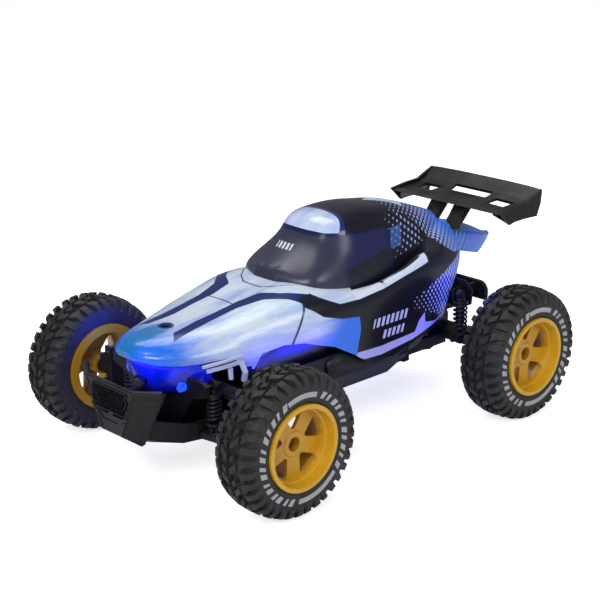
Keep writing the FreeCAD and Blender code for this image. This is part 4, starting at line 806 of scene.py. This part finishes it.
def make_tyre(name, body, side, axle_y, turn):
    centre = Vector((side * WHEEL_OFFSET, axle_y, TYRE_RADIUS))
    bm = bmesh.new()
    lathe(bm, [(side * x, radius) for x, radius in TYRE_PROFILE], 108)
    bmesh.ops.recalc_face_normals(bm, faces=bm.faces)
    for face in bm.faces:
        face.smooth = True
    carcass = to_mesh(bm, "carcass")
    lugs = grow(TREAD_PITCH.copy(), REPEAT, Count=TREAD_PITCHES, Material=PAINT["tyre_rubber"])
    bm = bmesh.new()
    bm.from_mesh(carcass)
    bm.from_mesh(lugs)
    plain_faces = len(bm.faces)
    for start, length, bars in ((-22, 40, 11), (132, 56, 15)):
        add_arc_mark(bm, side, start, start + length, 30.6, 33.6)
        for index in range(bars):
            width = (5.4, 3.4, 6.0, 4.2)[index % 4]
            at = start + length + 6 + index * 9.6
            add_arc_mark(bm, side, at, at + width, 30.2, 34.4, 3.0)
    bm.faces.ensure_lookup_table()
    for index, face in enumerate(bm.faces):
        face.material_index = int(index >= plain_faces)
    bmesh.ops.recalc_face_normals(bm, faces=bm.faces[plain_faces:])
    spin = Matrix.Rotation(math.radians(turn), 4, "X")
    bmesh.ops.transform(bm, matrix=Matrix.Scale(MM, 4) @ Matrix.Translation(centre) @ spin, verts=bm.verts)
    materials = (PAINT["tyre_rubber"], PRINT)
    to_object(f"{name}_treaded", to_mesh(bm, name), body, materials, (name,))


def make_tyres():
    for label, side in SIDES.items():
        make_tyre(f"tyre_front_{label}", f"front_wheel_{label}", side, FRONT_AXLE, 0)
        make_tyre(f"tyre_rear_{label}", "rear_axle", side, REAR_AXLE, -8)


# ---- front details

def honeycomb_tree():
    """Copies of a cell in staggered rows in the XZ plane."""
    sizes = [("Count", "Int", 70), ("Columns", "Float", 10.0), ("Pitch", "Float", 3.0)]
    tree, given, result, index = pattern_tree("honeycomb", sizes)
    row = reckon(tree, "FLOOR", (index + 0.01) / given["Columns"])
    odd = reckon(tree, "MODULO", row, 2.0)
    spot = tree.nodes.new("ShaderNodeCombineXYZ")
    along = (index - row * given["Columns"] + odd * 0.5) * given["Pitch"]
    fill(tree, spot, X=along, Z=row * given["Pitch"] * 0.866)
    place_copies(tree, given, result, position=spot.outputs[0])
    return tree


def hexagon_cell(outer, inner, depth):
    """A short hexagonal tube along Y."""
    bm = bmesh.new()
    rings = []
    for radius, y in ((outer, 0.0), (inner, 0.0), (inner, depth), (outer, depth)):
        angles = [math.tau * corner / 6 for corner in range(6)]
        rings.append([bm.verts.new((radius * math.sin(angle), y, radius * math.cos(angle)))
                      for angle in angles])
    for first, second in zip(rings, rings[1:] + rings[:1]):
        bridge(bm, first, second)
    bmesh.ops.recalc_face_normals(bm, faces=bm.faces)
    return to_mesh(bm, "cell")


def add_tube(bm, points, radius, sides=8):
    """A round bar through the points, with closed ends."""
    points = [Vector(point) for point in points]
    rings = []
    for index, point in enumerate(points):
        before, after = points[max(index - 1, 0)], points[min(index + 1, len(points) - 1)]
        along = (after - before).normalized()
        across = along.cross(Vector((0, 0, 1)) if abs(along.z) < 0.9 else Vector((1, 0, 0))).normalized()
        other = along.cross(across)
        rings.append([bm.verts.new(point + across * radius * math.cos(math.tau * k / sides)
                                   + other * radius * math.sin(math.tau * k / sides)) for k in range(sides)])
    for first, second in zip(rings, rings[1:]):
        bridge(bm, first, second)
    bm.faces.new(rings[0])
    bm.faces.new(rings[-1])


def add_sheet(bm, rows, thickness):
    """A curved sheet through rows of points, thickened inwards."""
    grid = [[Vector(point) for point in row] for row in rows]
    width = len(grid[0])
    front, back = [], []
    for r, row in enumerate(grid):
        front_row, back_row = [], []
        for c, point in enumerate(row):
            along = row[min(c + 1, width - 1)] - row[max(c - 1, 0)]
            down = grid[min(r + 1, len(grid) - 1)][c] - grid[max(r - 1, 0)][c]
            normal = along.cross(down).normalized()
            front_row.append(bm.verts.new(point))
            back_row.append(bm.verts.new(point + normal * thickness))
        front.append(front_row)
        back.append(back_row)
    for layer in (front, back):
        for r in range(len(grid) - 1):
            for c in range(width - 1):
                bm.faces.new((layer[r][c], layer[r][c + 1], layer[r + 1][c + 1], layer[r + 1][c]))
    border = [(r, 0) for r in range(len(grid))]
    border += [(len(grid) - 1, c) for c in range(1, width)]
    border += [(r, width - 1) for r in range(len(grid) - 2, -1, -1)]
    border += [(0, c) for c in range(width - 2, 0, -1)]
    for (r, c), (r2, c2) in zip(border, border[1:] + border[:1]):
        bm.faces.new((front[r][c], front[r2][c2], back[r2][c2], back[r][c]))


def mesh_from(bm, name, smooth=False):
    bmesh.ops.remove_doubles(bm, verts=bm.verts, dist=1e-5)
    bmesh.ops.recalc_face_normals(bm, faces=bm.faces)
    for face in bm.faces:
        face.smooth = smooth
    bmesh.ops.scale(bm, vec=(MM, MM, MM), verts=bm.verts)
    return to_mesh(bm, name)


def add_piece(bm, name, material, smooth=False, replaced=()):
    """A finished piece on the chassis."""
    to_object(name, mesh_from(bm, name, smooth), "chassis", (material,), replaced)


def make_bumper_grille():
    """Hexagon mesh in the bumper's openings, with round bars along the frame."""
    front = -172.5
    cells = grow(hexagon_cell(1.95, 1.3, 1.7), HONEYCOMB, Count=66, Columns=11.0, Pitch=2.9,
                 Material=PAINT["bumper_plastic"])
    bm = bmesh.new()
    bm.from_mesh(cells)
    bmesh.ops.translate(bm, vec=(-15.2, front - 0.7, 54.0), verts=bm.verts)
    edge = front + 0.6
    for side in SIDES.values():
        add_tube(bm, [(0, edge, 70), (side * 22, edge, 69.6), (side * 37.5, edge + 10, 71)], 1.5)
        add_tube(bm, [(side * 22.4, edge, 69), (side * 9.4, edge + 1, 39)], 1.3)
        add_tube(bm, [(side * 16, edge - 0.2, 52), (side * 7, edge + 0.6, 45.5), (0, edge + 0.6, 45.5)], 1.0)
        corner = (side * 37.5, edge + 10, 70.5)
        add_tube(bm, [corner, (side * 18.5, edge + 8, 33.8), (side * 9, edge + 1, 39)], 1.2)
        add_tube(bm, [(side * 21, edge + 0.6, 63), (side * 34, edge + 9, 64.5)], 1.0)
    for face in bm.faces:
        face.material_index = 0
    add_piece(bm, "bumper_grille", PAINT["bumper_plastic"])


def make_nose_panel():
    """The curved panel under the nose, with a painted blue glow towards its top."""
    bm = bmesh.new()
    half_width, steps = 38, 24
    rows = []
    for share in (0.0, 0.25, 0.5, 0.75, 1.0):
        row = []
        for step in range(steps + 1):
            x = half_width * (2 * step / steps - 1)
            bend = (x / half_width) ** 2
            top = Vector((x, -153.5 + 31 * bend, 82 - 5 * bend))
            low = Vector((x * 0.94, -145 + 24 * bend, 58 + 9 * bend))
            row.append(top.lerp(low, share) - Vector((0, math.sin(math.pi * share) * 2.2, 0)))
        rows.append(row)
    add_sheet(bm, rows, 1.2)
    add_piece(bm, "nose_panel", NOSE_PANEL_GLOW, True)


def make_lamp_seat():
    """The dark dished ring round the nose lamp."""
    bm = bmesh.new()
    angles = [math.tau * step / 20 for step in range(20)]
    rings = []
    for radius, y in ((5.4, -152.6), (4.6, -153.0), (3.8, -149.0)):
        rings.append([bm.verts.new((3 + radius * math.cos(angle), y + 0.32 * radius * math.sin(angle),
                                    67 + 0.62 * radius * math.sin(angle))) for angle in angles])
    for first, second in zip(rings, rings[1:]):
        bridge(bm, first, second)
    middle = bm.verts.new((3, -148.4, 67))
    for first, second in zip(rings[-1], rings[-1][1:] + rings[-1][:1]):
        bm.faces.new((first, second, middle))
    add_piece(bm, "nose_lamp_seat", PAINT["bumper_plastic"], True)


def add_mirrored_sheets(bm, rows, thickness):
    """A sheet on the left and its mirror image on the right."""
    add_sheet(bm, rows, thickness)
    add_sheet(bm, [[(-x, y, z) for x, y, z in reversed(row)] for row in rows], thickness)


def make_inner_fenders():
    """Dark walls inside the front wheel arches, lit blue from above: by the arch lamps and by a painted blue
    glow towards their top.
    """
    top_line = [(-97, 74), (-88, 78), (-72, 82), (-58, 83), (-40, 80), (-26, 74), (-12, 66), (-5, 62)]
    bm = bmesh.new()
    rows = [[(39.5 - 1.5 * share, y, top + (56 - top) * share) for y, top in top_line]
            for share in (0.0, 0.35, 0.7, 1.0)]
    add_mirrored_sheets(bm, rows, 1.2)
    add_piece(bm, "inner_fenders", FENDER_LIT, True)


def make_arch_flanges():
    """A pale slotted flange under the skin in front of each wheel arch."""
    bm = bmesh.new()
    for low, high, lead in ((79.2, 80.6, 0.0), (75.6, 77.4, 3.0)):
        rows = [[(37.5, -131 + lead, z - 1.2), (41.5, -118, z), (44.5, -106, z + 1.4)] for z in (high, low)]
        add_mirrored_sheets(bm, rows, 2.0)
    for side in SIDES.values():
        add_tube(bm, [(side * 43.5, -107, 79), (side * 46.5, -106, 72), (side * 44.0, -105, 66)], 1.9, 6)
        add_tube(bm, [(side * 41.0, -113, 75), (side * 41.5, -113, 68)], 1.6, 6)
    add_piece(bm, "arch_flanges", FLANGE)


def make_skirts():
    """Smooth lower sides that tuck under the skin's edge."""
    top_line = [(-37, 58), (-24, 61), (-15, 58.5), (-7, 55.5), (9, 55), (26, 55.8), (40, 57), (56, 59.5)]
    bm = bmesh.new()
    rows = [[(x - max(0.0, (y - 26) / 30) * 3.5, y, top + drop) for y, top in top_line]
            for x, drop in ((46.2, 1.5), (47.4, -5.0), (45.6, -9.5), (42.4, -13.5))]
    add_mirrored_sheets(bm, rows, 1.4)
    add_piece(bm, "side_skirts", PAINT["chassis_plastic"], True, ("side_guards",))


def add_plate(bm, xs, ys, height, open_cells, thickness):
    """A plate over a grid of x and y with some cells left open, closed all round."""
    corners = {}
    for i, x in enumerate(xs):
        for j, y in enumerate(ys):
            z = height(x, y)
            corners[i, j] = (bm.verts.new((x, y, z)), bm.verts.new((x, y, z - thickness)))
    solid = {(i, j) for i in range(len(xs) - 1) for j in range(len(ys) - 1) if (i, j) not in open_cells}
    for i, j in solid:
        ring = [corners[i, j], corners[i + 1, j], corners[i + 1, j + 1], corners[i, j + 1]]
        bm.faces.new([pair[0] for pair in ring])
        bm.faces.new([pair[1] for pair in ring])
        for k, beside in enumerate(((i, j - 1), (i + 1, j), (i, j + 1), (i - 1, j))):
            if beside not in solid:
                first, second = ring[k], ring[(k + 1) % 4]
                bm.faces.new((first[0], second[0], second[1], first[1]))


def add_prism(bm, outline, offset):
    """A solid from a flat outline pushed along an offset."""
    near = [bm.verts.new(point) for point in outline]
    far = [bm.verts.new(Vector(point) + Vector(offset)) for point in outline]
    bm.faces.new(near)
    bm.faces.new(far)
    bridge(bm, near, far)


def wing_height(x, y):
    """The wing is nearly flat in front, turns up at the back and droops towards its ends."""
    flap = 8.2 * max(0.0, (y - 153.0) / 15.5) ** 1.3
    return 126.6 + (y - 131) * 0.05 + flap - 1.0 * (abs(x) / 50.0) ** 4


def make_wing():
    """Slotted wing with end plates on two broad leaning struts."""
    bm = bmesh.new()
    xs = [-50.2, -46.0, -41.0, -25.0, -17.0, -8.0, 8.0, 17.0, 25.0, 41.0, 46.0, 50.2]
    ys = [129.0, 131.5, 139.5, 148.5, 152.5, 158.0, 161.0, 165.0, 168.6]
    slots = {(2, 2), (2, 3), (8, 2), (8, 3)} | {(i, j) for i in (4, 5, 6) for j in (3, 4)}
    add_plate(bm, xs, ys, wing_height, slots, 2.0)
    lip = [(129.0, 127.0), (124.8, 125.6), (129.0, 124.4)]
    add_prism(bm, [(-50.2, y, z - 0.6) for y, z in lip], (100.4, 0, 0))
    for side in SIDES.values():
        plate = [(124.0, 126.4), (134.6, 116.4), (143.5, 118.6), (151.0, 117.8), (164.5, 117.2),
                 (168.4, 126.0), (169.4, 135.6), (163.0, 133.2), (153.0, 129.0), (140.0, 128.4)]
        add_prism(bm, [(side * 49.4, y, z) for y, z in plate], (side * 2.2, 0, 0))
        add_prism(bm, [(side * 43.0, 126, 123.6), (side * 50.0, 134.6, 116.6), (side * 50.0, 160, 117.4),
                       (side * 43.0, 158, 125.6)], (0, 0, 1.4))
        strut = [(118.6, 109.3), (122.6, 109.3), (138.6, 125.4), (131.4, 125.4)]
        add_prism(bm, [(side * 4.8, y, z) for y, z in strut], (side * 11.6, 0, 0))
        for x in (4.8, 16.4):
            add_tube(bm, [(side * x, 121.6, 111.0), (side * x, 134.0, 124.0)], 1.3, 6)
    add_piece(bm, "rear_wing_shaped", PAINT["wing_plastic"], replaced=("rear_wing",))


def make_springs():
    """Springs between the damper body above and its rod below, copied from the CAD springs in spring steel.
    """
    springs = [(f"front_spring_{label}", f"front_damper_{label}", f"front_damper_rod_{label}")
               for label in SIDES]
    springs.append(("rear_springs", "rear_damper_bodies", "rear_damper_rods"))
    for name, upper, lower in springs:
        obj = new_object(f"{name}_coil", nodes[name].data.copy())
        obj.data.materials.clear()
        obj.data.materials.append(PAINT["spring_steel"])
        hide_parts(name)
        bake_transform(obj)


def make_tower_web():
    """The closed plate of the rear tower behind its dampers."""
    bm = bmesh.new()
    _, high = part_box("rear_dampers")
    y = high.y / MM + 1.5
    for side in SIDES.values():
        outline = [(side * 26, y, 67), (side * 48, y, 66), (side * 55, y, 70), (side * 56, y, 80),
                   (side * 50, y, 86), (side * 26, y, 86)]
        add_prism(bm, outline, (0, 1.6, 0))
    add_piece(bm, "tower_web", PAINT["chassis_plastic"])


def make_belly():
    """Faceted skid plate behind the bumper, turned up at its sides."""
    bm = bmesh.new()
    rows = []
    for y, low, half in ((-158, 34, 16), (-150, 31, 20), (-138, 28.5, 25), (-122, 27.6, 27), (-96, 27.4, 27)):
        edge = [(half + 3, y + 2, low + 14), (half, y, low + 2), (half * 0.55, y - 1, low)]
        rows.append([*edge, (0, y - 1, low), *((-x, y, z) for x, y, z in reversed(edge))])
    add_sheet(bm, rows, 1.6)
    add_piece(bm, "skid_plate", PAINT["chassis_plastic"])


HONEYCOMB = honeycomb_tree()
NOSE_PANEL_GLOW = make_lit_panel("nose_panel_painted_glow", 54, 76, 0.5)
FENDER_LIT = make_lit_panel("fender_painted_glow", 65, 76, 0.7)
FLANGE = moulded("flange_white", (0.60, 0.66, 0.92), 0.35, 0.00002, edge=0.2, dust=0.05, lighter=1.2)


# ---- floor, lights and camera

def make_floor():
    bm = bmesh.new()
    bmesh.ops.create_grid(bm, x_segments=1, y_segments=1, size=6.0)
    floor = new_object("floor", to_mesh(bm, "floor"))
    material, tree, shader = plain_tree("floor_white")
    sight = Field(tree, tree.nodes.new("ShaderNodeLightPath").outputs["Is Camera Ray"])
    fill(tree, shader, Base_Color=(0.90, 0.90, 0.91, 1), Roughness=0.8, Emission_Color=(1, 1, 1, 1),
         Emission_Strength=sight * 0.72)
    floor.data.materials.append(material)


def area_light(name, place, target, size, power):
    """A square soft light that faces its target."""
    light = bpy.data.lights.new(name, "AREA")
    light.shape = "SQUARE"
    light.size = size
    light.energy = power
    obj = new_object(name, light)
    obj.location = place
    obj.rotation_euler = (Vector(target) - Vector(place)).to_track_quat("-Z", "Y").to_euler()


def glow(name, place, power):
    """Blue light from a small lamp, placed in millimetres."""
    light = bpy.data.lights.new(name, "POINT")
    light.energy = power
    light.color = (0.0, 0.03, 1.0)
    light.shadow_soft_size = 0.006
    obj = new_object(name, light)
    obj.visible_glossy = False
    obj.location = [value * MM for value in place]


def make_lights():
    world = bpy.data.worlds.new("white_room")
    world.use_nodes = True
    tree = world.node_tree
    background = tree.nodes["Background"]
    sight = Field(tree, tree.nodes.new("ShaderNodeLightPath").outputs["Is Camera Ray"])
    fill(tree, background, Color=(0.94, 0.96, 1.0, 1), Strength=sight * 0.90 + 0.24)
    bpy.context.scene.world = world
    area_light("key_box", (0.7, -1.3, 1.1), (0, -0.05, 0.06), 0.7, 14)
    area_light("top_box", (-0.5, 0.1, 1.5), (0, 0, 0.06), 0.9, 9)
    area_light("side_box", (1.4, 0.3, 0.8), (0, 0.02, 0.08), 0.6, 5)
    for side in SIDES.values():
        glow("arch_glow", (side * 55, -86, 70), 0.012)
        glow("well_glow", (side * 52, -50, 72), 0.012)
        glow("rear_glow", (side * 70, 72, 86), 0.030)
        glow("rear_glow_low", (side * 68, 70, 40), 0.020)
    glow("rim_glow_left", (68, FRONT_AXLE, 58), 0.04)
    glow("rim_glow_right", (-62, -124, 74), 0.10)
    glow("nose_glow", (14, -164, 74), 0.016)


def make_camera():
    """A long lens from the front left, a little above the roof."""
    azimuth, elevation, roll = math.radians(46.381), math.radians(18.362), math.radians(-0.363)
    camera = bpy.data.cameras.new("camera")
    camera.lens = 90.72
    camera.sensor_width = 36.0
    camera.clip_start = 0.01
    obj = new_object("camera", camera)
    turn = Matrix.Rotation(azimuth, 4, "Z") @ Matrix.Rotation(math.pi / 2 - elevation, 4, "X")
    obj.matrix_world = Matrix.Translation((0.67856, -0.66290, 0.39640)) @ turn @ Matrix.Rotation(roll, 4, "Z")
    bpy.context.scene.camera = obj
    bpy.context.scene.view_settings.view_transform = "Standard"


finish_cad_nodes()
make_skin()
make_tyres()
make_bumper_grille()
make_nose_panel()
make_lamp_seat()
make_inner_fenders()
make_arch_flanges()
make_skirts()
make_wing()
make_springs()
make_tower_web()
make_belly()
make_floor()
make_lights()
make_camera()
